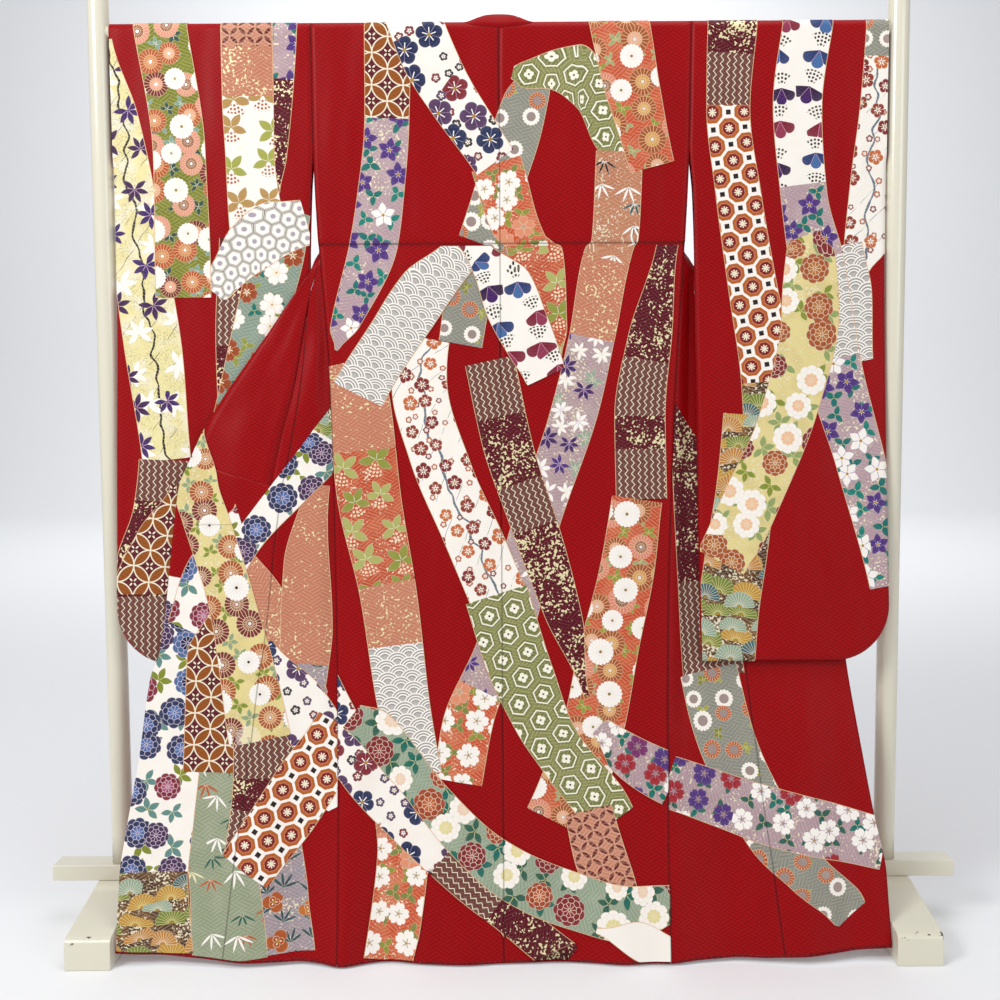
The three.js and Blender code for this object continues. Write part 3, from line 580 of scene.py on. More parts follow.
def front_panel(half: Half, part: FrontPart) -> Panel:
    """A stretch of a front as a face for ribbons. The collar has none."""
    reach = {FrontPart.SKIRT: (SKIRT_TOP, LENGTH), FrontPart.CORNER: (PLAIN_TOP, PLAIN_TIP)}
    rows = drops(*reach.get(part, (0.0, UPPER_END)), ROW_STEP)
    if part is FrontPart.SKIRT:
        rows = np.unique(np.concatenate([rows, [PLAIN_TIP - 0.00001, PLAIN_TIP]]))

    def lift(x: Array, drop: Array, height: float) -> Array:
        share = front_share(half, half.sign * x, drop)
        return on_front(half, share, hemmed(drop, share), height)

    def limits(drop: Array) -> tuple[Array, Array]:
        drop = np.asarray(drop, float)
        side, edge = half.side.at("x", drop), half.front.at("edge_x", drop)
        if part is FrontPart.UPPER:
            collar = front_x(half, SEAMS.at("collar", drop), drop)
            return signed(half, np.minimum(collar, side), side)
        if part is FrontPart.CORNER:
            outer = np.interp(drop, (PLAIN_TOP, PLAIN_TIP), (edge_at_top(half), PLAIN_TIP_X))
            return signed(half, np.minimum(outer, edge), edge)
        start = PLAIN_TOP - 0.02
        inner = side + (PLAIN_TIP_X - side) * np.clip((drop - start) / (PLAIN_TIP - start), 0, 1)
        return signed(half, side, np.where(drop < PLAIN_TIP, inner, edge))

    return Panel(
        rows=rows,
        lift=lift,
        limits=limits,
        seams=lambda x, drop: front_seams(half, x, drop),
    )


class MeshDraft:
    """Gathers grids of points with their maps and materials, then makes one mesh object of them."""

    def __init__(self) -> None:
        self.parts: list[dict[str, Array]] = []
        self.count = 0

    def add(self, points: Array, uv: Array, outward: Array, slot: int = 0, rim: Optional[Array] = None,
            seams: Optional[Array] = None) -> None:
        """Adds a grid of points as quads that face the way outward points, without those that have no area.

        Args:
            points: Grid of points, rows by columns by 3.
            uv: Map coordinates, rows by columns by 2.
            outward: Vectors that point out of the face, rows by columns by 3, or one for all.
            rim: Distance of each point from a ribbon's edge.
            seams: Signed distances of each point from three seams.
        """
        rows, columns = points.shape[:2]
        index = np.arange(rows * columns).reshape(rows, columns)
        around = (index[:-1, :-1], index[1:, :-1], index[1:, 1:], index[:-1, 1:])
        quads = np.stack(around, axis=-1).reshape(-1, 4)
        flat = points.reshape(-1, 3)
        corners = flat[quads]
        out = np.cross(corners[:, 2] - corners[:, 0], corners[:, 3] - corners[:, 1])
        facing = np.broadcast_to(outward, points.shape).reshape(-1, 3)[quads[:, 0]]
        if np.sum(out * facing) < 0:
            quads = quads[:, ::-1]
        quads = quads[np.linalg.norm(out, axis=1) > 4e-9]
        count = len(flat)
        part = {
            "points": flat,
            "uv": uv.reshape(-1, 2),
            "rim": np.full(count, 1.0) if rim is None else rim.reshape(-1),
            "seams": np.ones((count, 3)) if seams is None else seams.reshape(-1, 3),
            "quads": quads + self.count,
            "slots": np.full(len(quads), slot),
        }
        self.parts.append(part)
        self.count += count

    def build(self, name: str, materials: Sequence[Material], weld: float = 0.0) -> Thing:
        """Makes the object, which stands at the origin.

        Args:
            name: The object's name.
            materials: Its materials, by slot.
            weld: Distance within which points are merged.

        Returns:
            The new object.
        """
        joined = {key: np.concatenate([part[key] for part in self.parts]) for key in self.parts[0]}
        used, back = np.unique(joined["quads"], return_inverse=True)
        quads = back.reshape(-1, 4)
        mesh = bpy.data.meshes.new(name)
        mesh.vertices.add(len(used))
        mesh.vertices.foreach_set("co", joined["points"][used].astype(np.float32).ravel())
        mesh.loops.add(quads.size)
        mesh.loops.foreach_set("vertex_index", quads.astype(np.int32).ravel())
        mesh.polygons.add(len(quads))
        mesh.polygons.foreach_set("loop_start", np.arange(0, quads.size, 4, dtype=np.int32))
        layer = mesh.uv_layers.new(name="cloth")
        layer.data.foreach_set("uv", joined["uv"][used][quads.ravel()].astype(np.float32).ravel())
        rim = mesh.attributes.new("rim", "FLOAT", "POINT")
        rim.data.foreach_set("value", joined["rim"][used].astype(np.float32))
        seams = mesh.attributes.new("seams", "FLOAT_VECTOR", "POINT")
        seams.data.foreach_set("vector", joined["seams"][used].astype(np.float32).ravel())
        for material in materials:
            mesh.materials.append(material)
        mesh.polygons.foreach_set("material_index", joined["slots"].astype(np.int32))
        mesh.polygons.foreach_set("use_smooth", np.ones(len(quads), dtype=bool))
        mesh.update(calc_edges=True)
        mesh.validate()
        thing = bpy.data.objects.new(name, mesh)
        bpy.context.scene.collection.objects.link(thing)
        if weld:
            merge = thing.modifiers.new("weld", "WELD")
            merge.merge_threshold = weld
        return thing


def solidify(thing: Thing, thickness: float = CLOTH) -> Thing:
    """Gives a shell its thickness, away from its outer face."""
    shell = thing.modifiers.new("cloth", "SOLIDIFY")
    shell.thickness = thickness
    shell.offset = -1.0
    return thing


# The ribbons

class Fill(Enum):
    """What a stretch of ribbon is filled with."""

    CHRYS_OLIVE = "chrysanthemums on olive"
    CHRYS_GOLD = "chrysanthemums on pale gold"
    CHRYS_CORAL = "chrysanthemums on coral"
    RINGS_GREY = "ring flowers on grey green"
    PLUM_WHITE = "plum blossoms on white"
    PLUM_BRANCH = "plum branches on white"
    KIKYO_LILAC = "bellflowers on lilac"
    CHERRY_LILAC = "cherry blossoms on lilac"
    CHERRY_CORAL = "cherry blossoms on coral"
    CHERRY_GREY = "rust blossoms on grey green"
    MAPLE_GOLD = "maple leaves on pale gold"
    MAPLE_LILAC = "maple leaves on lilac"
    PEONY_WHITE = "peonies on white"
    PEONY_SAGE = "peonies on sage"
    PEONY_GOLD = "peonies on pale gold"
    PAULOWNIA = "paulownia on white"
    BAMBOO_SAGE = "bamboo leaves on sage"
    BAMBOO_SALMON = "bamboo leaves on salmon"
    WISTERIA_WHITE = "wisteria on white"
    WISTERIA_CORAL = "wisteria on coral"
    IRIS = "irises on lilac"
    PINE = "pines on maroon and gold"
    SHIPPO_BROWN = "linked circles in brown"
    SHIPPO_SALMON = "linked circles in salmon"
    HEX_WHITE = "tortoiseshell in white"
    HEX_MOSS = "tortoiseshell on moss"
    OCTAGON = "octagons in rust"
    WAVES = "scale waves in grey"
    ZIGZAG = "zigzag lines on maroon"
    FLECK_MAROON = "gold flecks on maroon"
    FLECK_SALMON = "gold flecks on salmon"
    WHITE = "plain white"


# How far a ribbon's line is carried on past its ends, in millimetres
PAST_END = 70


@dataclass(frozen=True)
class Ribbon:
    """A dyed ribbon: rows of (drop, middle across, half width) in millimetres and the fills along it.

    With across set, the rows run across the cloth instead: (place across, middle drop, half width).
    Fills meet square to the ribbon's run.
    """

    rows: tuple[tuple[float, float, float], ...]
    fills: tuple[tuple[float, Fill], ...]
    across: bool = False

    def line(self) -> Table:
        """The ribbon's middle and half width by key, carried on straight past both ends."""
        rows = np.array(self.rows, float)
        reach = PAST_END
        into = (rows[1, 1] - rows[0, 1]) / (rows[1, 0] - rows[0, 0])
        out = (rows[-1, 1] - rows[-2, 1]) / (rows[-1, 0] - rows[-2, 0])
        before = (rows[0, 0] - reach, rows[0, 1] - into * reach, rows[0, 2])
        after = (rows[-1, 0] + reach, rows[-1, 1] + out * reach, rows[-1, 2])
        return Table("key middle half", np.vstack([before, rows, after]))

    def mirrored(self) -> "Ribbon":
        """The same ribbon on the other side of the centre."""
        return Ribbon(tuple((key, -middle, half) for key, middle, half in self.rows), self.fills)


F = Fill
LEFT_SLEEVE = (
    Ribbon(((30, -690, 6), (160, -672, 30), (330, -656, 46), (560, -626, 52), (775, -602, 44)),
           ((775, F.MAPLE_GOLD),)),
    Ribbon(((775, -608, 44), (860, -612, 50), (960, -630, 62), (1141, -630, 66)),
           ((850, F.ZIGZAG), (1020, F.FLECK_MAROON), (1141, F.ZIGZAG))),
    Ribbon(((0, -380, 24), (110, -384, 20), (240, -392, 13), (300, -396, 4)),
           ((100, F.KIKYO_LILAC), (300, F.FLECK_MAROON))),
    Ribbon(((380, -468, 34), (560, -478, 34), (800, -470, 38), (960, -520, 60)),
           ((480, F.FLECK_MAROON), (570, F.ZIGZAG), (700, F.FLECK_MAROON), (960, F.ZIGZAG))),
    Ribbon(((330, -380, 44), (430, -404, 50), (560, -440, 46), (700, -480, 40)), ((700, F.CHERRY_GREY),)),
    Ribbon(((0, -446, 46), (130, -446, 46), (240, -444, 44), (380, -432, 50)),
           ((44, F.SHIPPO_SALMON), (130, F.FLECK_SALMON), (380, F.WISTERIA_WHITE))),
    Ribbon(((-520, 470, 40), (-480, 420, 60), (-430, 380, 60), (-382, 362, 48), (-345, 352, 42)),
           ((-345, F.HEX_WHITE),), across=True),
    Ribbon(((0, -600, 48), (230, -570, 47), (420, -568, 50), (484, -568, 50)), ((484, F.CHRYS_OLIVE),)),
    Ribbon(((820, -590, 6), (900, -600, 52), (1010, -606, 90), (1016, -606, 90)),
           ((1016, F.SHIPPO_BROWN),)),
)
RIGHT_SLEEVE = (
    Ribbon(((0, 672, 22), (150, 668, 27), (280, 662, 36), (400, 655, 40), (450, 650, 10)),
           ((66, F.RINGS_GREY), (450, F.PLUM_BRANCH))),
    Ribbon(((400, 600, 50), (480, 615, 52), (600, 620, 50), (610, 622, 52)), ((610, F.WAVES),)),
    Ribbon(((0, 548, 45), (150, 530, 44), (300, 542, 42), (420, 566, 50), (620, 600, 52), (800, 650, 46),
            (1010, 690, 30)),
           ((290, F.PAULOWNIA), (420, F.KIKYO_LILAC), (600, F.WAVES), (1010, F.KIKYO_LILAC))),
    Ribbon(((0, 414, 44), (155, 407, 39), (304, 426, 41), (484, 455, 45), (640, 482, 50), (760, 488, 50)),
           ((60, F.FLECK_MAROON), (150, F.ZIGZAG), (640, F.OCTAGON), (760, F.PINE))),
    Ribbon(((700, 450, 50), (820, 440, 52), (960, 420, 56), (1060, 404, 56), (1141, 396, 56)),
           ((1141, F.PINE),)),
    Ribbon(((380, 546, 30), (410, 556, 44), (520, 556, 52), (700, 516, 52), (840, 456, 56),
            (940, 410, 56), (966, 396, 50)),
           ((966, F.PEONY_GOLD),)),
)
BACK = (
    Ribbon(((0, -196, 42), (180, -200, 40), (300, -212, 42), (400, -228, 44), (540, -280, 26),
            (580, -295, 4)),
           ((170, F.SHIPPO_BROWN), (580, F.KIKYO_LILAC))),
    Ribbon(((395, 20, 30), (420, -24, 44), (484, -56, 42), (570, -72, 40)), ((570, F.RINGS_GREY),)),
    Ribbon(((92, 62, 26), (128, 50, 40), (222, 22, 46), (320, -10, 44), (390, -34, 44)),
           ((390, F.RINGS_GREY),)),
    Ribbon(((24, 92, 12), (40, 96, 22), (93, 88, 34), (140, 100, 56), (170, 140, 80), (205, 190, 74),
            (220, 240, 60)),
           ((220, F.HEX_MOSS),), across=True),
    Ribbon(((230, 214, 42), (385, 206, 42), (400, 196, 44), (560, 164, 42), (700, 130, 44), (900, 60, 44),
            (1100, 4, 48), (1240, -60, 46), (1350, -80, 44)),
           ((420, F.BAMBOO_SALMON), (560, F.FLECK_SALMON), (960, F.MAPLE_LILAC), (1190, F.MAPLE_LILAC),
            (1350, F.CHERRY_CORAL))),
    Ribbon(((0, 212, 54), (120, 236, 50), (258, 272, 42)), ((258, F.CHRYS_CORAL),)),
    Ribbon(((250, -6, 48), (379, 36, 46), (400, 62, 50), (540, 74, 46), (600, 80, 30)),
           ((395, F.CHERRY_CORAL), (600, F.WISTERIA_CORAL))),
    Ribbon(((0, -150, 52), (90, -112, 54), (170, -62, 52), (248, -8, 48)), ((248, F.PLUM_WHITE),)),
    Ribbon(((395, 300, 20), (560, 268, 40), (700, 250, 46), (850, 252, 46)),
           ((600, F.FLECK_MAROON), (700, F.ZIGZAG), (760, F.FLECK_MAROON), (850, F.ZIGZAG))),
    Ribbon(((850, 244, 46), (980, 224, 50), (1120, 190, 54), (1260, 160, 56), (1340, 130, 62),
            (1420, 90, 60)),
           ((1420, F.CHRYS_CORAL),)),
    Ribbon(((600, -20, 46), (760, 14, 46), (900, 60, 44), (1060, 110, 34), (1200, 150, 6)),
           ((700, F.ZIGZAG), (820, F.FLECK_MAROON), (900, F.ZIGZAG), (1200, F.FLECK_MAROON))),
    Ribbon(((600, -270, 40), (664, -256, 56), (844, -238, 58), (1024, -203, 52), (1205, -178, 48),
            (1340, -150, 44)),
           ((760, F.FLECK_SALMON), (1000, F.WISTERIA_CORAL), (1110, F.FLECK_SALMON), (1340, F.WAVES))),
    Ribbon(((560, -130, 40), (640, -146, 50), (780, -110, 54), (920, -50, 56), (1060, 8, 56)),
           ((1060, F.PLUM_BRANCH),)),
    Ribbon(((1020, -10, 60), (1150, 30, 60), (1260, 76, 54), (1360, 150, 60), (1420, 190, 52)),
           ((1420, F.HEX_MOSS),)),
    Ribbon(((395, -60, 46), (440, -110, 60), (540, -180, 58), (640, -246, 56), (660, -256, 54)),
           ((660, F.WAVES),)),
    Ribbon(((395, -46, 30), (440, 0, 50), (520, 30, 54), (600, 66, 46), (630, 80, 40)),
           ((630, F.PAULOWNIA),)),
    Ribbon(((1400, 150, 44), (1500, 176, 48), (1600, 220, 30)),
           ((1500, F.SHIPPO_SALMON), (1600, F.SHIPPO_SALMON))),
    Ribbon(((1360, -170, 60), (1480, -176, 46), (1600, -190, 46), (1652, -200, 44)),
           ((1440, F.FLECK_SALMON), (1652, F.CHERRY_CORAL))),
    Ribbon(((1180, -330, 46), (1280, -280, 52), (1400, -190, 54), (1520, -60, 52), (1600, 40, 50),
            (1652, 110, 56)),
           ((1400, F.PLUM_WHITE), (1480, F.PLUM_WHITE), (1560, F.ZIGZAG), (1652, F.FLECK_MAROON))),
    Ribbon(((-270, 1236, 30), (-200, 1290, 56), (-100, 1410, 54), (0, 1500, 52), (110, 1550, 50),
            (220, 1572, 46), (310, 1550, 24), (340, 1540, 2)),
           ((340, F.PEONY_SAGE),), across=True),
    Ribbon(((160, 1600, 6), (240, 1620, 34), (300, 1640, 26)), ((300, F.WHITE),), across=True),
    Ribbon(((165, 1262, 12), (190, 1286, 42), (240, 1320, 48), (300, 1350, 50)),
           ((300, F.CHERRY_LILAC),), across=True),
)
LEFT_FRONT = (
    Ribbon(((910, -500, 30), (1000, -440, 44), (1120, -380, 40), (1200, -340, 34)),
           ((1200, F.FLECK_SALMON),)),
    Ribbon(((820, -330, 22), (960, -350, 40), (1080, -350, 46), (1160, -356, 44), (1240, -372, 44)),
           ((1140, F.FLECK_SALMON), (1240, F.IRIS))),
    Ribbon(((1180, -350, 40), (1280, -370, 40), (1400, -400, 40), (1540, -400, 60), (1640, -390, 66)),
           ((1400, F.IRIS), (1640, F.IRIS))),
    Ribbon(((1280, -500, 40), (1420, -506, 50), (1520, -486, 62), (1652, -470, 66)),
           ((1652, F.BAMBOO_SAGE),)),
    Ribbon(((990, -556, 50), (1160, -590, 64), (1300, -600, 66), (1420, -610, 66), (1500, -614, 64),
            (1652, -600, 66)),
           ((1500, F.PEONY_WHITE), (1652, F.PINE))),
    Ribbon(((690, -286, 56), (738, -305, 58), (810, -370, 58), (950, -500, 58), (1080, -560, 44)),
           ((740, F.PINE), (1080, F.PEONY_WHITE))),
    Ribbon(((1040, -500, 20), (1120, -516, 46), (1330, -520, 46)), ((1330, F.SHIPPO_BROWN),)),
    Ribbon(((1230, -430, 50), (1340, -420, 56), (1480, -440, 50)),
           ((1340, F.ZIGZAG), (1400, F.FLECK_MAROON), (1480, F.ZIGZAG))),
    Ribbon(((1110, -430, 30), (1180, -380, 56), (1280, -320, 58), (1380, -270, 50)),
           ((1380, F.PLUM_WHITE),)),
    Ribbon(((1250, -286, 56), (1330, -336, 66), (1430, -400, 66), (1500, -450, 60)),
           ((1500, F.OCTAGON),)),
    Ribbon(((640, -540, 6), (735, -556, 26), (808, -552, 44), (880, -530, 44), (1024, -484, 44),
            (1140, -456, 50), (1275, -430, 56)),
           ((1275, F.CHRYS_GOLD),)),
)
RIGHT_FRONT = (
    Ribbon(((470, 342, 20), (600, 344, 36), (800, 352, 44), (1000, 366, 50), (1170, 380, 56)),
           ((1000, F.FLECK_MAROON), (1170, F.ZIGZAG))),
    Ribbon(((1160, 370, 54), (1275, 396, 54), (1400, 450, 56), (1480, 500, 58), (1540, 560, 56),
            (1590, 600, 40)),
           ((1590, F.RINGS_GREY),)),
    Ribbon(((290, 1350, 48), (370, 1380, 50), (460, 1410, 52), (560, 1434, 50), (668, 1462, 46)),
           ((668, F.CHERRY_LILAC),), across=True),
)
UPPER = (
    Ribbon(((0, 200, 46), (180, 190, 44), (340, 206, 40)),
           ((200, F.CHRYS_CORAL), (340, F.BAMBOO_SALMON))),
    Ribbon(((0, 286, 30), (200, 280, 30), (340, 290, 30)), ((160, F.SHIPPO_BROWN), (340, F.KIKYO_LILAC))),
)
FILLS = tuple(Fill)

# Drops where ribbons are cut level: the crown, under the tuck, a sleeve's lower edge and the hem
FLAT_CUTS = (0.0, 0.395, 1.141, 1.652)

# A slant cut: how far past the end its points go, how far it leans at most, and how near two rows may come
CUT_PAD = 0.06
CUT_REACH = 0.03
CLOSE = 2e-4

# How far the map of each ribbon is shifted from that of the one before, so that their flowers differ
MAP_SHIFT = 0.37


@dataclass
class RibbonWork:
    """The ribbons dyed on one part of the garment, which may have several faces."""

    name: str
    panels: Sequence[Panel]
    ribbons: Sequence[Ribbon]
    lift: float = 0.00045
    step: float = 0.0001

    def build(self, materials: dict[Fill, Material]) -> Thing:
        """Makes one object of all the strips, each a little above those under it."""
        draft = MeshDraft()
        for panel in self.panels:
            for order, ribbon in enumerate(self.ribbons):
                self.strip(draft, ribbon, panel, order)
        return draft.build(self.name, [materials[fill] for fill in FILLS])

    def strip(self, draft: MeshDraft, ribbon: Ribbon, panel: Panel, order: int) -> None:
        """Adds a ribbon to the draft, cut off at the panel's edges.

        Every strip has its points on one lattice, of the panel's rows and of lines CELL apart across, so
        that strips on one another stay parallel. A point's map comes from where it lies: across is its
        distance from the middle line times the cosine of that line's slant, and along is the line's length
        so far plus the distance times the sine.
        """
        line = ribbon.line()
        start = ribbon.rows[0][0] * MM
        fine = np.linspace(line.rows[0, 0], line.rows[-1, 0], 500)
        slopes = np.gradient(line.at("middle", fine), fine)
        arcs = np.concatenate([[0], np.cumsum(np.hypot(1, (slopes[1:] + slopes[:-1]) / 2) * np.diff(fine))])
        arcs -= np.interp(start, fine, arcs)
        ends = [start] + [value * MM for value, _ in ribbon.fills]
        for (low, high), (_, fill) in zip(zip(ends, ends[1:]), ribbon.fills):
            columns = np.sort(np.concatenate([np.arange(-140, 141) * CELL, panel.extra]))
            lattice = columns if ribbon.across else panel.rows
            pads = [0.0 if key in FLAT_CUTS else CUT_PAD for key in (low, high)]
            first_key, last_key = low - pads[0], high + pads[1]
            if not ribbon.across and (last_key <= panel.rows[0] or first_key >= panel.rows[-1]):
                continue
            inner = lattice[(lattice > first_key + CLOSE) & (lattice < last_key - CLOSE)]
            keys = np.concatenate([[first_key], inner, [last_key]])
            middle, half = line.at("middle", keys), np.maximum(line.at("half", keys), 1e-5)
            first, last = (middle - half)[:, None], (middle + half)[:, None]
            steps = panel.rows if ribbon.across else columns
            steps = steps[(steps > first.min()) & (steps < last.max())]
            steps = np.concatenate([[first.min()], steps, [last.max()]])
            values = np.clip(steps[None, :], first, last)
            keys = np.repeat(keys[:, None], values.shape[1], axis=1)
            bounds = []
            for key, pad in zip((low, high), pads):
                slant = -np.interp(key, fine, slopes) * pad / CUT_PAD
                lean = slant * (values - line.at("middle", key))
                bounds.append(key + np.clip(lean, -CUT_REACH, CUT_REACH))
            keys = np.clip(keys, *bounds)
            middle, half = line.at("middle", keys), np.maximum(line.at("half", keys), 1e-5)
            values = np.clip(values, middle - half, middle + half)
            x, drop = (keys, values) if ribbon.across else (values, keys)
            drop = np.clip(drop, panel.rows[0], panel.rows[-1])
            left, right = panel.limits(drop)
            x = np.clip(x, left, right)
            key, value = (x, drop) if ribbon.across else (drop, x)
            apart = value - line.at("middle", key)
            slant = np.arctan(np.interp(key, fine, slopes))
            along = np.interp(key, fine, arcs) + apart * np.sin(slant) + MAP_SHIFT * order
            uv = np.stack([apart * np.cos(slant), along], axis=-1)
            rim = (line.at("half", key) - np.abs(apart)) * np.cos(slant)
            height = self.lift + self.step * order
            points = panel.lift(x, drop, height)
            outward = panel.lift(x, drop, height + MM) - points
            draft.add(points, uv, outward, FILLS.index(fill), rim, panel.seams(x, drop))


@dataclass
class Garment:
    """The furisode's pieces of cloth, each a thin shell."""

    silk: Material
    hem_silk: Material

    def body(self, half: Half) -> Thing:
        """One half of the body: a single length from the back's hem over the shoulder to the front's hem."""
        share = shares(40)[None, :]
        down = BODY_ROWS[:, None]
        side = half.side.at("x", down)
        inner = neckline(down)
        across = inner + (side - inner) * share
        back = on_back(half, across, down)
        own = (1 - share) * SEAMS.at("overlap", down)
        front = on_front(half, own, hemmed(down, own))
        back_x, x = half.sign * across, half.sign * front_x(half, own, down)
        seams = np.concatenate([back_seams(half, back_x, down)[::-1], front_seams(half, x, down)[1:]])
        points = np.concatenate([back[::-1], front[1:]])
        uv = np.concatenate([flat_map(back_x, down)[::-1], flat_map(x, -down)[1:]])
        draft = MeshDraft()
        draft.add(points, uv, outward_of(points, np.array((0.0, -1.0, 0.0)), len(back)), seams=seams)
        return solidify(draft.build(f"cloth_body_{half.name}", [self.silk]))

    def okumi(self, half: Half) -> Thing:
        """The overlap panel: a strip beside the collar, and all of the front's outer part below its end."""
        seam_end = COLLAR_END + COLLAR_SLOPE
        rows = drops(OKUMI_TOP, LENGTH, ROW_STEP)
        upper = np.append(rows[rows < seam_end], seam_end)[:, None]
        columns = np.linspace(0, 1, 5)[None, :]
        start, end = SEAMS.at("overlap", upper), SEAMS.at("collar", upper)
        end = np.where(upper >= seam_end, COLLAR_END_SHARE, end)
        draft = MeshDraft()
        self.sheet_of(draft, half, start + (end - start) * columns, upper)
        lower = np.concatenate([[seam_end], rows[rows > seam_end + 0.002]])[:, None]
        first = SEAMS.at("overlap", seam_end)
        spread = np.concatenate(
            [first + (COLLAR_END_SHARE - first) * columns[0], np.linspace(COLLAR_END_SHARE, 1, 34)[1:]]
        )[None, :]
        slope = np.interp(lower, (seam_end, 1.119), (1, 0))
        fall = COLLAR_SLOPE * np.clip((spread - COLLAR_END_SHARE) / (1 - COLLAR_END_SHARE), 0, 1)
        start = SEAMS.at("overlap", lower)
        share = start + (1 - start) * (spread - first) / (1 - first)
        self.sheet_of(draft, half, share, lower - slope * fall)
        return solidify(draft.build(f"cloth_okumi_{half.name}", [self.silk], weld=0.0002))

    def sheet_of(self, draft: MeshDraft, half: Half, share: Array, drop: Array) -> None:
        """Adds a grid of a front by share and drop to a draft."""
        share, drop = np.broadcast_arrays(share, drop)
        low = hemmed(drop, share)
        points = on_front(half, share, low)
        x = half.sign * front_x(half, share, drop)
        outward = on_front(half, share, low, MM) - points
        draft.add(points, flat_map(x, -drop), outward, seams=front_seams(half, x, drop))

    def sleeve(self, half: Half) -> Thing:
        """A sleeve: both walls, joined at the shoulder, and from the wrist down along the sewn edge."""
        rows = SLEEVE_ROWS[:, None]
        inner, outer = sleeve_edges(half, rows)
        even = inner + (outer - 0.014 - inner) * np.linspace(0, 1, 42)[None, :]
        across = np.concatenate([even, outer - EDGES[::-1][None, :]], axis=1)
        draft = MeshDraft()
        walls = []
        for far in (False, True):
            points = on_sleeve(half, far, across, rows)
            x = half.sign * across
            uv = flat_map(x, -rows if far else rows)
            outward = on_sleeve(half, far, across, rows, MM) - points
            draft.add(points, uv, outward, seams=sleeve_seams(half, x, rows))
            walls.append((points, uv))
        (near, near_uv), (far_wall, _) = walls
        below = SLEEVE_ROWS >= WRIST
        edge = np.stack([near[below, -1], far_wall[below, -1]], axis=1)
        edge_uv = np.stack([near_uv[below, -1], near_uv[below, -1]], axis=1)
        draft.add(edge, edge_uv, np.array((half.sign, 0.0, 0.0)))
        bottom = np.stack([near[-1], far_wall[-1]], axis=0)
        draft.add(bottom, np.stack([near_uv[-1], near_uv[-1]], axis=0), np.array((0.0, 0.0, -1.0)))
        return solidify(draft.build(f"cloth_sleeve_{half.name}", [self.silk], weld=0.0002))

    def collar(self) -> Thing:
        """The collar: a band up the left front's edge, round the neck and down the right front."""
        fronts = [self.collar_strip(half) for half in HALVES]
        turns = np.linspace(0, np.pi, 61)[:, None]
        share = np.linspace(0, 1, 9)[None, :]
        neck = neck_stand(turns, share)
        out = np.cross(np.gradient(neck, axis=0), np.gradient(neck, axis=1))
        out[[0, -1]] = (0, 0, 1)
        out /= np.maximum(np.linalg.norm(out, axis=-1, keepdims=True), 1e-12)
        neck = neck + out * (CLOTH / 2)
        neck_uv = flat_map(0.12 * turns + 0 * share, 0.1 * share + 0 * turns)
        points = np.concatenate([fronts[0][0][::-1], neck, fronts[1][0]])
        uv = np.concatenate([fronts[0][1][::-1], neck_uv, fronts[1][1]])
        lifted = np.concatenate([fronts[0][2][::-1], out, fronts[1][2]])
        draft = MeshDraft()
        draft.add(points, uv, lifted)
        return solidify(draft.build("cloth_collar", [self.silk]))

    def collar_strip(self, half: Half) -> tuple[Array, Array, Array]:
        """One side of the collar, downwards from the rod: its points, map and outward vectors.

        Below the turn it stands a little proud of the front, as its cloth is folded double.
        """
        seam_end = COLLAR_END + COLLAR_SLOPE
        rows = drops(0.0004, seam_end, ROW_STEP)[:, None]
        start = SEAMS.at("collar", rows)
        share = start + (1 - start) * np.linspace(0, 1, 9)[None, :]
        slope = smooth(COLLAR_END - 0.09, seam_end, rows)
        fall = COLLAR_SLOPE * np.clip((share - COLLAR_END_SHARE) / (1 - COLLAR_END_SHARE), 0, 1)
        drop = rows - slope * fall
        proud = 0.0009 * (smooth(0.46, 0.54, drop) * smooth(0.0, 0.08, PLAIN_TOP - drop))[..., None]
        points = on_front(half, share, drop)
        outward = on_front(half, share, drop, MM) - points
        points = points + outward / MM * proud
        return points, flat_map(half.sign * front_x(half, share, drop), -drop), outward

    def hem_roll(self, name: str, line: Array) -> Thing:
        """A rolled edge of the hem: a thin tube of cloth under a line of points."""
        turns = np.linspace(0, 2 * np.pi, 13)[None, :]
        circle = np.stack([0 * turns, np.cos(turns), np.sin(turns)], axis=-1)
        centres = (line - np.array((0, 0, HEM_ROLL + 0.0004)))[:, None, :]
        points = centres + HEM_ROLL * circle
        along = np.arange(len(line))[:, None] * 0.008 + 0 * turns
        draft = MeshDraft()
        draft.add(points, flat_map(along, 0 * along), np.broadcast_to(circle, points.shape))
        return draft.build(name, [self.hem_silk], weld=0.0001)


def flat_map(x: Array, drop: Array) -> Array:
    """Map coordinates of a piece of silk: its place across and its drop, in metres."""
    x, drop = np.broadcast_arrays(np.asarray(x, float), drop)
    return np.stack([x, drop], axis=-1)


def outward_of(points: Array, near: Array, rows: int) -> Array:
    """Outward vectors that turn the first rows of a body half to the viewer, and the rest with them."""
    out = np.zeros(points.shape)
    out[:rows] = near
    return out


def shares(count: int) -> Array:
    """Shares from 0 to 1, evenly spaced."""
    return np.linspace(0, 1, count + 1)


def neck_stand(turn: Array, share: Array) -> Array:
    """The collar's stand round the neck, from its seam up over the rod to its free edge on the far side."""
    drop = (NECK_DIP - 0.0006) * np.maximum(0, np.sin(turn))
    seam = place(-(NECK_HALF_WIDTH - 0.0004) * np.cos(turn), drop, CLOTH / 2)
    inset = NECK_HALF_WIDTH - COLLAR_INSET
    edge_y = 0.4 * WRAP * np.sin(turn) ** 6 - 0.004 * np.sin(turn) * np.cos(turn) ** 2
    edge = np.stack([-inset * np.cos(turn), edge_y, 0 * turn + ROD_HEIGHT + WRAP - CLOTH / 2], axis=-1)
    points = seam + (edge - seam) * share[..., None]
    rise = COLLAR_RISE * np.sin(turn) * np.sin(np.pi * share) ** 0.8
    return points + rise[..., None] * np.array((0.0, 0.0, 1.0))


# Colours

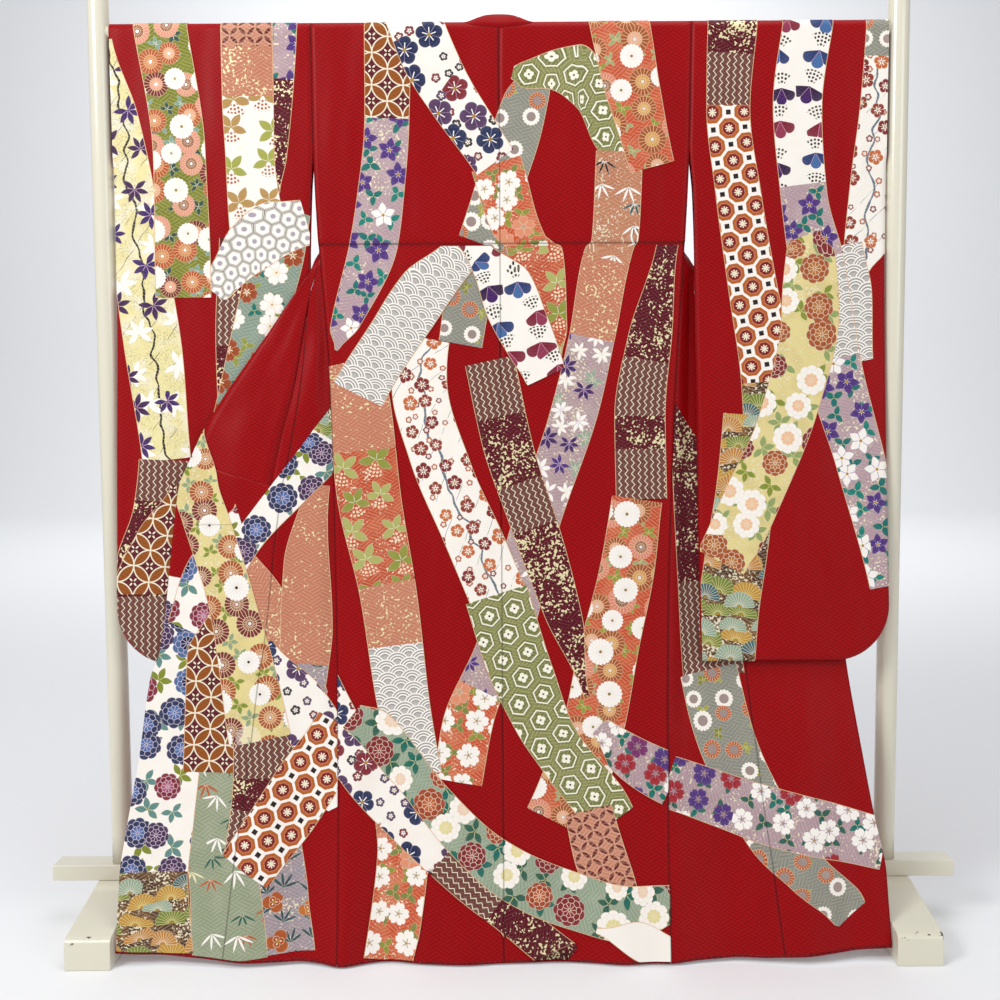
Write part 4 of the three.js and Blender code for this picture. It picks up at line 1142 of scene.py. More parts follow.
WHITE, CREAM, GOLD, PALE_GOLD = "#F2ECE4", "#E9DEC4", "#B88E3A", "#DCCF92"
RED, FRET_RED, DARK_RED, MAROON = "#850004", "#B8060E", "#6A0610", "#56041A"
SALMON, OLIVE, SAGE, GREY, LILAC = "#BC7458", "#7F7F28", "#8FA08A", "#96928E", "#9C8490"
PURPLE, VIOLET, NAVY, BLACK = "#4E2E56", "#4A2A74", "#182850", "#221618"
EDGE_GOLD = "#DDB088"


def linear(colour: str) -> Colour:
    """A web colour as linear light."""
    parts = [int(colour[k : k + 2], 16) / 255 for k in (1, 3, 5)]
    light = [part / 12.92 if part < 0.04045 else ((part + 0.055) / 1.055) ** 2.4 for part in parts]
    return (light[0], light[1], light[2], 1.0)


class Value:
    """A number in a node tree: sums, products and functions of it add math nodes to the tree."""

    def __init__(self, tree: Tree, socket: Socket) -> None:
        self.tree = tree
        self.socket = socket

    def then(self, operation: str, *others: "Number", clamp: bool = False) -> "Value":
        """Adds a math node that takes this value and others.

        Args:
            operation: The node's operation.
            others: Its other inputs.
            clamp: Whether the result is kept between 0 and 1.

        Returns:
            The node's result.
        """
        node = self.tree.nodes.new("ShaderNodeMath")
        node.operation = operation
        node.use_clamp = clamp
        for socket, value in zip(node.inputs, (self, *others)):
            attach(self.tree, socket, value)
        return Value(self.tree, node.outputs[0])

    def __add__(self, other: "Number") -> "Value":
        return self.then("ADD", other)

    __radd__ = __add__

    def __sub__(self, other: "Number") -> "Value":
        return self.then("SUBTRACT", other)

    def __rsub__(self, other: "Number") -> "Value":
        return self.then("MULTIPLY_ADD", -1.0, other)

    def __mul__(self, other: "Number") -> "Value":
        return self.then("MULTIPLY", other)

    __rmul__ = __mul__

    def __abs__(self) -> "Value":
        return self.then("ABSOLUTE")

    def under(self, limit: "Number", soft: float = 0.25) -> "Value":
        """1 where the value is under a limit and 0 where it is over, with a soft step between."""
        return (limit - self).then("MULTIPLY_ADD", 1 / soft, 0.5, clamp=True)

    def over(self, limit: "Number", soft: float = 0.25) -> "Value":
        """1 where the value is over a limit."""
        return (self - limit).then("MULTIPLY_ADD", 1 / soft, 0.5, clamp=True)

    def wrap(self, pitch: float) -> "Value":
        """The distance from the nearest multiple of a pitch, from minus half of it to half."""
        return self.then("WRAP", pitch / 2, -pitch / 2)

    def mixed(self, other: "Number", share: "Number") -> "Value":
        """The way from this value to another by a share."""
        return (other - self) * share + self


Number = Value | float
Paint = Socket | str


def attach(tree: Tree, socket: Socket, value: Number) -> None:
    """Links a value to an input socket, or sets the socket to a constant."""
    if isinstance(value, Value):
        tree.links.new(value.socket, socket)
    else:
        socket.default_value = value


def biggest(first: Value, second: Number) -> Value:
    """The larger of two values."""
    return first.then("MAXIMUM", second)


def smallest(first: Value, second: Number) -> Value:
    """The smaller of two values."""
    return first.then("MINIMUM", second)


def far(u: Value, v: Value) -> Value:
    """The distance of a place from the origin."""
    return (u * u + v * v).then("SQRT")


class Canvas:
    """A picture in the making: a colour and a mask of its gold, painted over by one mask after another."""

    def __init__(self, tree: Tree, ground: str) -> None:
        self.tree = tree
        self.colour: Paint = ground
        self.gold: Number = 0.0
        self.bare: Number = 1.0

    def paint(self, colour: Paint, mask: Number, gold: float = 0.0) -> None:
        """Lays a colour over the picture where a mask says."""
        self.colour = blend(self.tree, self.colour, colour, mask)
        if isinstance(self.gold, Value) or gold:
            base = self.gold if isinstance(self.gold, Value) else mask * 0.0
            self.gold = base.mixed(gold, mask)

    def cover(self, mask: Value) -> None:
        """Notes that motifs hide the ground's weave where a mask says."""
        self.bare = (1.0 - mask) * self.bare


def blend(tree: Tree, first: Paint, second: Paint, share: Number) -> Socket:
    """Adds a node that mixes two colours and gives its result."""
    node = tree.nodes.new("ShaderNodeMix")
    node.data_type = "RGBA"
    attach(tree, node.inputs["Factor"], share)
    inputs = [socket for socket in node.inputs if socket.type == "RGBA"]
    for socket, paint in zip(inputs, (first, second)):
        if isinstance(paint, str):
            socket.default_value = linear(paint)
        else:
            tree.links.new(paint, socket)
    return next(socket for socket in node.outputs if socket.type == "RGBA")


def pick(tree: Tree, colours: Sequence[str], chance: Value) -> Socket:
    """One of a few colours by a random value from 0 to 1."""
    chosen: Paint = blend(tree, colours[0], colours[0], 0.0)
    for k, colour in enumerate(colours[1:], start=1):
        chosen = blend(tree, chosen, colour, chance.over(k / len(colours), 0.001))
    return chosen


@dataclass(frozen=True)
class Spot:
    """The nearest of the motifs strewn over a cloth: distance and angle from it and its two random values."""

    distance: Value
    angle: Value
    chance: Value
    size: Value


def scatter(
    u: Value, v: Value, spacing: float, seed: float, jitter: float = 0.6, turn: float = 1.0
) -> Spot:
    """Strews motifs over the cloth, one to a cell of a jittered square grid.

    Args:
        u: Place across, in millimetres.
        v: Place along.
        spacing: Side of a cell.
        seed: Shifts the grid, so that layers differ.
        jitter: From 0, in rows, to 1, free.
        turn: How far the motifs may turn, as a share of a full turn.

    Returns:
        What is known at each place of the motif nearest to it.
    """
    tree = u.tree
    spot = tree.nodes.new("ShaderNodeCombineXYZ")
    attach(tree, spot.inputs[0], u * (1 / spacing) + seed)
    attach(tree, spot.inputs[1], v * (1 / spacing) + seed * 1.7)
    cells = tree.nodes.new("ShaderNodeTexVoronoi")
    cells.voronoi_dimensions = "2D"
    cells.inputs["Scale"].default_value = 1.0
    cells.inputs["Randomness"].default_value = jitter
    tree.links.new(spot.outputs[0], cells.inputs["Vector"])
    apart = tree.nodes.new("ShaderNodeVectorMath")
    apart.operation = "SUBTRACT"
    tree.links.new(spot.outputs[0], apart.inputs[0])
    tree.links.new(cells.outputs["Position"], apart.inputs[1])
    ways = tree.nodes.new("ShaderNodeSeparateXYZ")
    tree.links.new(apart.outputs[0], ways.inputs[0])
    dice = tree.nodes.new("ShaderNodeSeparateColor")
    tree.links.new(cells.outputs["Color"], dice.inputs[0])
    across, along = Value(tree, ways.outputs[0]), Value(tree, ways.outputs[1])
    chance, size = Value(tree, dice.outputs[1]), Value(tree, dice.outputs[2])
    angle = along.then("ARCTAN2", across) + (Value(tree, dice.outputs[0]) - 0.5) * (2 * math.pi * turn)
    return Spot(distance=far(across, along) * spacing, angle=angle, chance=chance, size=size)


@dataclass(frozen=True)
class Blossom:
    """The outline of a flower or leaf, as a share of its radius by angle.

    It falls by depth between the petals, as a power of a wave with one crest a petal. Notch cuts into a
    petal's tip, rings are inner rows of petals, fan is the share of the full turn that has petals, and
    stamens is their length.
    """

    petals: int
    depth: float
    power: float = 1.0
    pointed: bool = False
    notch: float = 0.0
    rings: tuple[float, ...] = ()
    heart: float = 0.16
    stamens: float = 0.0
    fan: float = 1.0

    def wave(self, angle: Value, shift: float) -> Value:
        """A crest at each petal's middle and zero between petals."""
        if self.pointed:
            turn = angle.then("MULTIPLY_ADD", self.petals / (2 * math.pi), 0.5 + shift)
            return 1.0 - abs(turn.wrap(1.0)) * 2.0
        return abs((angle * (self.petals / 2) + math.pi * shift).then("COSINE"))

    def rim(self, angle: Value, shift: float = 0.0) -> Value:
        """The outline's distance from the middle, as a share of the radius."""
        wave = self.wave(angle, shift)
        edge = wave.then("POWER", self.power).then("MULTIPLY_ADD", self.depth, 1 - self.depth)
        if self.notch:
            edge = edge - wave.over(0.975, 0.05) * self.notch
        if self.fan < 1:
            edge = edge * abs(angle.wrap(2 * math.pi)).under(self.fan * math.pi, 0.1)
        return edge


PLUM = Blossom(petals=5, depth=0.30, power=0.55, heart=0.13, stamens=0.52)
CHERRY = Blossom(petals=5, depth=0.4, power=0.5, notch=0.12, heart=0.07, stamens=0.36)
BELLFLOWER = Blossom(petals=5, depth=0.44, power=1.2, pointed=True, heart=0.12, stamens=0.3)
CHRYSANTHEMUM = Blossom(petals=20, depth=0.12, power=0.5, heart=0.12)
RINGED_CHRYSANTHEMUM = Blossom(petals=20, depth=0.12, power=0.5, rings=(0.5,), heart=0.13)
PEONY = Blossom(petals=9, depth=0.17, power=0.5, rings=(0.76, 0.46), heart=0.0)
RING_FLOWER = Blossom(petals=16, depth=0.16, power=0.6, heart=0.52)
MAPLE = Blossom(petals=7, depth=0.62, power=0.95, pointed=True, heart=0.0, fan=0.86)
LEAVES = Blossom(petals=3, depth=0.8, power=1.15, pointed=True, heart=0.0)
PEONY_LEAVES = Blossom(petals=5, depth=0.66, power=0.9, pointed=True, heart=0.0, fan=0.8)
BAMBOO = Blossom(petals=9, depth=0.94, power=1.5, pointed=True, heart=0.0, fan=0.46)
PINE_TUFT = Blossom(petals=26, depth=0.08, power=1.0, heart=0.12, fan=0.52)
PAULOWNIA_LEAF = Blossom(petals=7, depth=0.3, power=0.5, heart=0.0, fan=0.43)
IRIS_FLOWER = Blossom(petals=3, depth=0.62, power=0.5, rings=(0.5,), heart=0.14, stamens=0.3)


# Pitch of the buds of a spray in millimetres, and the number of petals from which their rows line up
BUD_PITCH = 6.6
MANY_PETALS = 20

# Spreads a motif's chance again, so that its colour doesn't follow whether it is kept
CHANCE_SPREAD = 7.31


@dataclass(frozen=True)
class Layer:
    """Motifs of one kind strewn over a ground. Sizes are in millimetres."""

    shape: Blossom
    colours: tuple[str, ...]
    radius: float
    spacing: float
    line: str = CREAM
    heart: str = GOLD
    jitter: float = 0.55
    turn: float = 1.0
    vary: float = 0.2
    keep: float = 1.0
    stroke: float = 0.5
    inner: Optional[tuple[str, ...]] = None
    stamen: str = WHITE
    facing: float = 0.0
    spray: Optional[str] = None

    def draw(self, canvas: Canvas, u: Value, v: Value, seed: float) -> None:
        """Paints the motifs: their petals, the lines between and round them, and their hearts.

        Facing turns them by a share of a full turn, so that 0.25 looks down the ribbon. A spray is a fan of
        small buds on the other side.
        """
        spot = scatter(u, v, self.spacing, seed, self.jitter, self.turn)
        angle = spot.angle - 2 * math.pi * self.facing
        radius = spot.size.then("MULTIPLY_ADD", -self.vary * self.radius, self.radius)
        rim = radius * self.shape.rim(angle)
        inside = spot.distance.under(rim, 0.5)
        if self.keep < 1:
            inside = inside * spot.chance.under(self.keep, 0.001)
        chance = (spot.chance * CHANCE_SPREAD).then("FRACT")
        petal = pick(canvas.tree, self.colours, chance)
        share = spot.distance.then("DIVIDE", radius)
        petal = blend(canvas.tree, petal, WHITE, share * share * 0.04)
        canvas.paint(petal, inside)
        canvas.cover(inside)
        wave = self.shape.wave(angle, 0.0)
        lines = abs(spot.distance - rim).under(self.stroke, 0.4)
        for k, row in enumerate(self.shape.rings):
            shift = 0.5 if k % 2 == 0 and self.shape.petals < MANY_PETALS else 0.0
            inner = radius * self.shape.rim(angle, shift) * row
            here = spot.distance.under(inner, 0.2)
            wave = wave.mixed(self.shape.wave(angle, shift), here)
            lines = biggest(lines, abs(spot.distance - inner).under(self.stroke * 0.8, 0.4))
            if self.inner and k == len(self.shape.rings) - 1:
                canvas.paint(pick(canvas.tree, self.inner, chance), here * inside)
        if self.inner and self.shape.fan < 1:
            middle = abs(angle.wrap(2 * math.pi)).under(math.pi / self.shape.petals, 0.05)
            canvas.paint(pick(canvas.tree, self.inner, chance), middle * inside)
        if self.spray:
            canvas.paint(self.spray, self.buds(spot, angle, radius))
        crease = (spot.distance * wave * (2 / self.shape.petals)).under(self.stroke * 0.8, 0.4)
        lines = biggest(lines, crease * spot.distance.over(radius * (self.shape.heart + 0.06), 0.3))
        canvas.paint(self.line, lines * inside * 0.8)
        if self.shape.stamens:
            aside = (1.0 - wave * wave).then("SQRT") * (2 / self.shape.petals)
            ray = (spot.distance * aside).under(0.9, 0.5)
            reach = spot.distance.under(radius * self.shape.stamens, 0.3)
            canvas.paint(self.stamen, ray * reach * inside)
        if self.shape.heart:
            canvas.paint(self.heart, spot.distance.under(radius * self.shape.heart, 0.3) * inside, gold=0.7)

    def buds(self, spot: Spot, angle: Value, radius: Value) -> Value:
        """Where a spray's buds are, in rings round the motif's middle."""
        back = (angle + math.pi).wrap(2 * math.pi)
        ring = (spot.distance * (1 / BUD_PITCH)).then("FLOOR") * BUD_PITCH + BUD_PITCH / 2
        bud = far((back * ring).wrap(BUD_PITCH), spot.distance - ring).under(BUD_PITCH * 0.34, 0.5)
        reach = abs(back).under(0.62, 0.05) * spot.distance.over(BUD_PITCH, 0.2)
        keep = spot.chance.under(self.keep, 0.001) if self.keep < 1 else 1.0
        return bud * reach * spot.distance.under(radius * 0.95, 0.2) * keep


@dataclass(frozen=True)
class Floral:
    """A fill of flowers: a ground, a second tone that clouds it, and layers of motifs from back to front.

    Dust is the share of gold flecks on the ground, branch the colour of a branch and speckle that of a web.
    """

    ground: str
    cloud: str
    layers: tuple[Layer, ...]
    dust: float = 0.0
    branch: Optional[str] = None
    speckle: Optional[str] = None

    def draw(self, canvas: Canvas, u: Value, v: Value) -> None:
        """Paints the fill."""
        canvas.paint(self.cloud, noise(u, v, 34.0, 3.1).over(0.56, 0.22) * 0.55)
        if self.speckle:
            web = abs(noise(u, v, 5.0, 7.7, 2.0) - 0.5).under(0.02, 0.03)
            canvas.paint(self.speckle, web * noise(u, v, 30.0, 4.4).over(0.42, 0.2) * 0.7)
        if self.branch:
            bend = noise(u * 0.0, v, 46.0, 1.7).then("MULTIPLY_ADD", 46.0, -23.0)
            width = noise(u, v, 20.0, 5.2).then("MULTIPLY_ADD", 3.4, 0.2)
            canvas.paint(self.branch, abs(u - bend).under(width, 0.5))
            twig = (u + v * 0.9 + noise(u, v, 30.0, 8.4) * 12.0).wrap(47.0)
            canvas.paint(self.branch, abs(twig).under(0.55, 0.4) * noise(u, v, 26.0, 2.2).over(0.5, 0.1))
        if self.dust:
            sprinkle(canvas, u, v, 4.4, self.dust, "#E8DDC0")
        for k, layer in enumerate(self.layers):
            layer.draw(canvas, u, v, 3.7 + 5.3 * k)


def noise(u: Value, v: Value, size: float, seed: float, detail: float = 1.0) -> Value:
    """Soft noise from 0 to 1 with lumps of a size in millimetres."""
    tree = u.tree
    spot = tree.nodes.new("ShaderNodeCombineXYZ")
    attach(tree, spot.inputs[0], u)
    attach(tree, spot.inputs[1], v)
    spot.inputs[2].default_value = seed * 31.0
    cloud = tree.nodes.new("ShaderNodeTexNoise")
    cloud.inputs["Scale"].default_value = 1 / size
    cloud.inputs["Detail"].default_value = detail
    tree.links.new(spot.outputs[0], cloud.inputs["Vector"])
    return Value(tree, cloud.outputs["Fac"])


def sprinkle(canvas: Canvas, u: Value, v: Value, size: float, share: float, colour: str) -> None:
    """Flecks of leaf metal of uneven shape, gathered in drifts."""
    drift = noise(u, v, 44.0, 6.6, 1.5).then("MULTIPLY_ADD", -0.5, 0.965 - 0.1 * share)
    fleck = noise(u, v, size, 9.4, 1.0).over(drift, 0.03)
    canvas.paint(colour, fleck, gold=0.5)


def linked_circles(
    canvas: Canvas, u: Value, v: Value, radius: float, star: str, lens: str, line: str
) -> None:
    """Shippo: circles that each overlap four others, so that lenses surround four-pointed stars."""
    circles, petals = [], []
    for shift in (0.0, radius):
        a, b = (u + shift).wrap(2 * radius), (v + shift).wrap(2 * radius)
        circles.append(far(a, b))
        p, q = (a + b) * math.sqrt(0.5), (a - b) * math.sqrt(0.5)
        for long_way, short_way in ((p, q), (q, p)):
            reach = (abs(long_way) - radius * 0.19) * (1 / (radius * 0.11))
            petals.append(far(reach, short_way * (1 / (radius * 0.055))))
    both = circles[0].under(radius, 0.3) * circles[1].under(radius, 0.3)
    canvas.paint(star, 1.0 - both)
    canvas.paint(lens, both)
    flower = smallest(smallest(petals[0], petals[1]), smallest(petals[2], petals[3]))
    canvas.paint(line, flower.under(1.0, 0.2))
    for circle in circles:
        canvas.paint(line, abs(circle - radius).under(1.15, 0.5))


def hexagons(
    canvas: Canvas, u: Value, v: Value, pitch: float, line: str, middle: str, double: bool
) -> None:
    """Tortoiseshell: a net of hexagons, each with a smaller one inside and a small flower."""
    tall = pitch * math.sqrt(3)
    first = (abs(u.wrap(pitch)), abs(v.wrap(tall)))
    second = (abs((u + pitch / 2).wrap(pitch)), abs((v + tall / 2).wrap(tall)))
    reach = [biggest(a, a * 0.5 + b * (math.sqrt(3) / 2)) for a, b in (first, second)]
    edge = smallest(reach[0], reach[1])
    heart = smallest(far(*first), far(*second))
    if double:
        canvas.paint(middle, abs(edge - pitch * 0.45).under(0.4, 0.4))
        canvas.paint(line, abs(edge - pitch * 0.34).under(1.2, 0.4))
        nearer = (far(*first) - far(*second)).over(0.0, 0.01)
        x, y = first[0].mixed(second[0], nearer), first[1].mixed(second[1], nearer)
        petals = smallest(far(x - pitch * 0.105, y), far(x, y - pitch * 0.105))
        canvas.paint(line, petals.under(pitch * 0.088, 0.3))
        canvas.paint(BLACK, heart.under(pitch * 0.04, 0.3))
        canvas.paint(middle, edge.over(pitch * 0.5 - 0.5, 0.4))
        return
    canvas.paint(line, abs(edge - pitch * 0.42).under(0.45, 0.4))
    canvas.paint(middle, heart.under(pitch * 0.16, 0.5))
    canvas.paint(line, edge.over(pitch * 0.5 - 0.8, 0.4))


def octagons(canvas: Canvas, u: Value, v: Value, pitch: float) -> None:
    """Octagons on a slanting net, in white lines round fields with a flower, with black squares between."""
    turned, other = (u + v) * math.sqrt(0.5), (u - v) * math.sqrt(0.5)
    a, b = abs(turned.wrap(pitch)), abs(other.wrap(pitch))
    edge = biggest(biggest(a, b), (a + b) * math.sqrt(0.5))
    half = pitch / 2
    canvas.paint(WHITE, edge.over(half * 0.88, 0.4))
    canvas.paint(BLACK, edge.over(half * 1.2, 0.4))
    canvas.paint(SALMON, edge.under(half * 0.64, 0.4))
    canvas.paint("#7A1012", edge.under(half * 0.55, 0.4))
    arm = smallest(smallest(a, b), abs(a - b) * math.sqrt(0.5))
    canvas.paint(CREAM, arm.under(half * 0.06, 0.4) * far(a, b).under(half * 0.36, 0.4))


def scale_waves(canvas: Canvas, u: Value, v: Value, radius: float) -> None:
    """Seigaiha: rows of ringed discs, half a radius apart, each row in front of the one above it."""
    v = v * -1.0
    row = (v * (2 / radius)).then("FLOOR")
    found: Number = 0.0
    shown: Optional[Value] = None
    for ahead in (1.0, 0.0, -1.0):
        own = row - ahead
        odd = abs(own).then("MODULO", 2.0)
        away = far((u + odd * radius).wrap(2 * radius), v - own * (radius / 2))
        hit = away.under(radius, 0.02)
        shown = away if shown is None else away.mixed(shown, found)
        found = hit if not isinstance(found, Value) else biggest(found, hit)
    for share in (0.94, 0.72, 0.5):
        canvas.paint(WHITE, abs(shown - radius * share).under(1.25, 0.4))
    hatch = (abs((u + v).wrap(2.6)).under(0.5, 0.4)) * shown.under(radius * 0.34, 0.4)
    canvas.paint(WHITE, hatch * 0.7)


def zigzags(canvas: Canvas, u: Value, v: Value) -> None:
    """Zigzag lines that run along the ribbon: a cream one to every few thin ones in salmon."""
    line = u + abs(v.wrap(13.0)) * 0.86
    canvas.paint("#B48470", abs(line.wrap(2.9)).under(0.3, 0.4))
    canvas.paint("#F0E4C8", abs(line.wrap(11.6)).under(0.85, 0.4))


FLORALS: dict[Fill, Floral] = {
    Fill.CHRYS_OLIVE: Floral("#747814", "#82862A", (
        Layer(PEONY_LEAVES, ("#2A4A40", "#7A9A8C"), 16, 38, line=CREAM, keep=0.85),
        Layer(RINGED_CHRYSANTHEMUM, ("#B04E14", "#D8907A", "#B04E14", "#6E0A12"), 24, 50,
              line="#EBC8A0", heart=WHITE, stroke=0.55, inner=("#D8A080", "#6E0A12", "#C07030", "#D8907A")),
        Layer(CHRYSANTHEMUM, (WHITE,), 23, 66, line="#D8D4C0", heart="#9A8A40", stroke=0.3, keep=0.75),
    )),
    Fill.CHRYS_GOLD: Floral("#DCCB88", "#CBB878", (
        Layer(PEONY_LEAVES, ("#7E8A2E", "#8C9C78"), 18, 40, line=PALE_GOLD),
        Layer(RINGED_CHRYSANTHEMUM, ("#6E0A12", "#A04808", "#A04808"), 25, 54,
              line="#F0D8B0", heart=WHITE, stroke=0.6, inner=("#7A1A1A", "#A85014", "#B06028")),
        Layer(CHRYSANTHEMUM, (WHITE,), 24, 62, line="#BDB8B0", heart="#4A3010", stroke=0.3, keep=0.7),
    ), dust=0.3),
    Fill.CHRYS_CORAL: Floral("#C04A26", "#CC7048", (
        Layer(PEONY_LEAVES, ("#8A9038", "#9AA070"), 17, 40, line=PALE_GOLD),
        Layer(RINGED_CHRYSANTHEMUM, ("#9A4A10", "#D0806A", "#9A4A10"), 26, 56,
              line="#F0C8A0", heart=WHITE, stroke=0.6, inner=("#C08A30", "#5A1010", "#D09A80")),
        Layer(CHRYSANTHEMUM, (WHITE,), 24, 66, line="#D8CCC0", heart="#A08040", stroke=0.3, keep=0.7),
    )),
    Fill.RINGS_GREY: Floral("#84847A", "#8C8C80", (
        Layer(PEONY_LEAVES, ("#9A9A40", OLIVE), 14, 44, line=PALE_GOLD, keep=0.5),
        Layer(RING_FLOWER, (WHITE, "#B4561E"), 18, 46, line=CREAM, heart="#A8948E", stroke=0.5),
    )),
    Fill.PLUM_WHITE: Floral(WHITE, "#EFE4DA", (
        Layer(PLUM, (BLACK, "#7A1A28", PURPLE), 10, 30, line=GREY, keep=0.6),
        Layer(PLUM, (NAVY, PURPLE, "#7A1424", "#0E1E4A"), 26, 56, line="#A898B0", keep=0.8),
    )),
    Fill.PLUM_BRANCH: Floral(WHITE, "#F0E8DC", (
        Layer(PLUM, ("#B05830", "#7A1424"), 6.5, 24, line=CREAM, keep=0.45, stroke=0.12),
        Layer(PLUM, ("#8A2A1E", "#7A0C1A", "#C0602C"), 15, 40, line=CREAM, keep=0.75),
    ), branch="#5E6C7C"),
    Fill.KIKYO_LILAC: Floral("#AC9098", "#B8A0A4", (
        Layer(LEAVES, ("#0E7A70", "#126A66"), 21, 44, line=PALE_GOLD, keep=0.85),
        Layer(BELLFLOWER, (VIOLET, VIOLET, WHITE), 25, 56, line="#8A78B0"),
    ), dust=0.45),
    Fill.CHERRY_LILAC: Floral("#A88C94", "#B49CA0", (
        Layer(LEAVES, ("#0E6A60", "#2A5A50"), 19, 42, line=PALE_GOLD),
        Layer(CHERRY, (WHITE, WHITE, "#9A1424", VIOLET), 23, 50, line=LILAC, stamen="#A08890"),
    ), dust=0.4),
    Fill.CHERRY_CORAL: Floral("#C44E2A", "#D08660", (
        Layer(LEAVES, ("#8A8E3A", "#7A8040"), 18, 40, line=PALE_GOLD),
        Layer(CHERRY, (WHITE, WHITE, "#D88A68"), 23, 50, line=CREAM, stamen="#B8A890"),
    ), dust=0.2),
    Fill.CHERRY_GREY: Floral("#7E9082", "#8A9A8A", (
        Layer(LEAVES, ("#0E6A60", "#8A9040"), 19, 42, line=PALE_GOLD),
        Layer(CHERRY, ("#963C10", "#963C10", WHITE), 24, 50, line="#E0B080", stamen=CREAM),
    )),
    Fill.MAPLE_GOLD: Floral("#E6DA9C", WHITE, (
        Layer(MAPLE, (WHITE,), 30, 74, line=WHITE, keep=0.75),
        Layer(MAPLE, ("#3E1E4A", "#3E2460"), 29, 66, line="#C8A8B8", keep=0.85),
    ), branch=BLACK, speckle="#8E8468"),
    Fill.MAPLE_LILAC: Floral("#A88C92", "#B49E9E", (
        Layer(MAPLE, (WHITE, SAGE), 20, 50, line=CREAM, keep=0.5),
        Layer(MAPLE, ("#3E1E5A", "#4A2A74", WHITE), 23, 48, line="#C8B0C8", keep=0.85),
    ), dust=0.55),
    Fill.PEONY_WHITE: Floral(WHITE, "#EFE6DC", (
        Layer(PEONY_LEAVES, ("#7A8426", "#5A8480"), 25, 54, line=PALE_GOLD, keep=0.85),
        Layer(PEONY, ("#7A0C24", "#40608E", "#3A1E48", "#182850"), 29, 64, line="#E0D0DC", stroke=0.6,
              inner=("#A04A62", "#101C44", "#4A2450", "#4A689C")),
    )),
    Fill.PEONY_SAGE: Floral("#8A9A84", "#98A690", (
        Layer(PEONY_LEAVES, ("#0E6458", "#2A5A4A"), 27, 52, line=PALE_GOLD),
        Layer(PEONY, (WHITE, "#9A3A14", "#7A0C1E", WHITE), 29, 64, line=CREAM, stroke=0.6,
              inner=(PALE_GOLD, "#B85A30", "#8A2434", "#E8C8B0")),
    )),
    Fill.PEONY_GOLD: Floral("#DCCB88", "#CBB878", (
        Layer(PEONY_LEAVES, ("#7E8A2E", "#8C9C60"), 25, 50, line=PALE_GOLD, keep=0.85),
        Layer(PEONY, (WHITE, "#7A0C1A", "#A04A14"), 28, 60, line=CREAM, stroke=0.6,
              inner=("#E8B890", "#8A1A24", "#B06A30")),
    ), dust=0.4),
    Fill.PAULOWNIA: Floral(WHITE, "#F0EAE0", (
        Layer(PAULOWNIA_LEAF, ("#7A1630", "#24386A", "#2E1440"), 34, 62,
              line="#D0A0B0", stroke=0.5, turn=0.08, jitter=0.35, facing=0.25,
              inner=("#8E3450", "#44689A", "#42205E"), spray=BLACK),
    )),
    Fill.BAMBOO_SAGE: Floral("#8A9478", "#98A088", (
        Layer(BAMBOO, ("#B0562A", "#1E5A4A"), 30, 52, line=CREAM, turn=0.1, facing=0.25, keep=0.8),
        Layer(BAMBOO, (WHITE, WHITE, "#E8DCB0"), 32, 58, line="#8A9A80", turn=0.1, facing=0.25, keep=0.8),
    )),
    Fill.BAMBOO_SALMON: Floral("#B87858", "#B06E50", (
        Layer(BAMBOO, (BLACK, "#2A5A60"), 31, 58, line=WHITE, turn=0.08, facing=0.25, keep=0.7, stroke=0.9),
        Layer(BAMBOO, (WHITE, WHITE), 31, 62, line="#506A60", turn=0.08, facing=0.25, keep=0.7),
    ), dust=0.5),
    Fill.IRIS: Floral("#9A8A92", "#8E8A94", (
        Layer(BAMBOO, ("#1E4A4A", "#2A4A4A"), 32, 44, line=SAGE, turn=0.1, facing=-0.25),
        Layer(IRIS_FLOWER, ("#A84E14", "#B8681E"), 22, 54, line=CREAM, turn=0.2, facing=-0.25, keep=0.85),
    ), dust=0.45),
    Fill.PINE: Floral("#4A2A14", "#8A5A1E", (
        Layer(PINE_TUFT, ("#6A7A2A", "#B8862A"), 32, 50,
              line=PALE_GOLD, turn=0.08, facing=-0.25, stroke=0.6),
        Layer(PINE_TUFT, ("#8AA08A", "#2E5A60", "#B87A2A"), 30, 52,
              line=CREAM, turn=0.08, facing=-0.25, keep=0.85),
    ), dust=0.95),
    Fill.WISTERIA_WHITE: Floral(WHITE, "#F2ECE2", (
        Layer(PEONY_LEAVES, ("#A0A24A", "#A0A24A", "#B08A50"), 33, 62, line=CREAM, turn=0.1, jitter=0.4,
              facing=-0.25, spray="#A85428"),
    )),
    Fill.WISTERIA_CORAL: Floral("#B84826", "#C86A44", (
        Layer(PEONY_LEAVES, ("#8A8E3A", "#A8A860"), 33, 60, line=CREAM, turn=0.1, jitter=0.4, facing=-0.25,
              spray="#EAD2B0"),
    ), dust=0.3),
}


@dataclass(frozen=True)
class Repeat:
    """A fill of a repeat: its ground, what paints it, with what settings, and how far the weave shows."""

    ground: str
    painter: Optional[Callable[..., None]] = None
    settings: tuple[Any, ...] = ()
    bare: float = 1.0

    def draw(self, canvas: Canvas, u: Value, v: Value) -> None:
        """Paints the fill."""
        if self.painter:
            self.painter(canvas, u, v, *self.settings)
        canvas.bare = self.bare


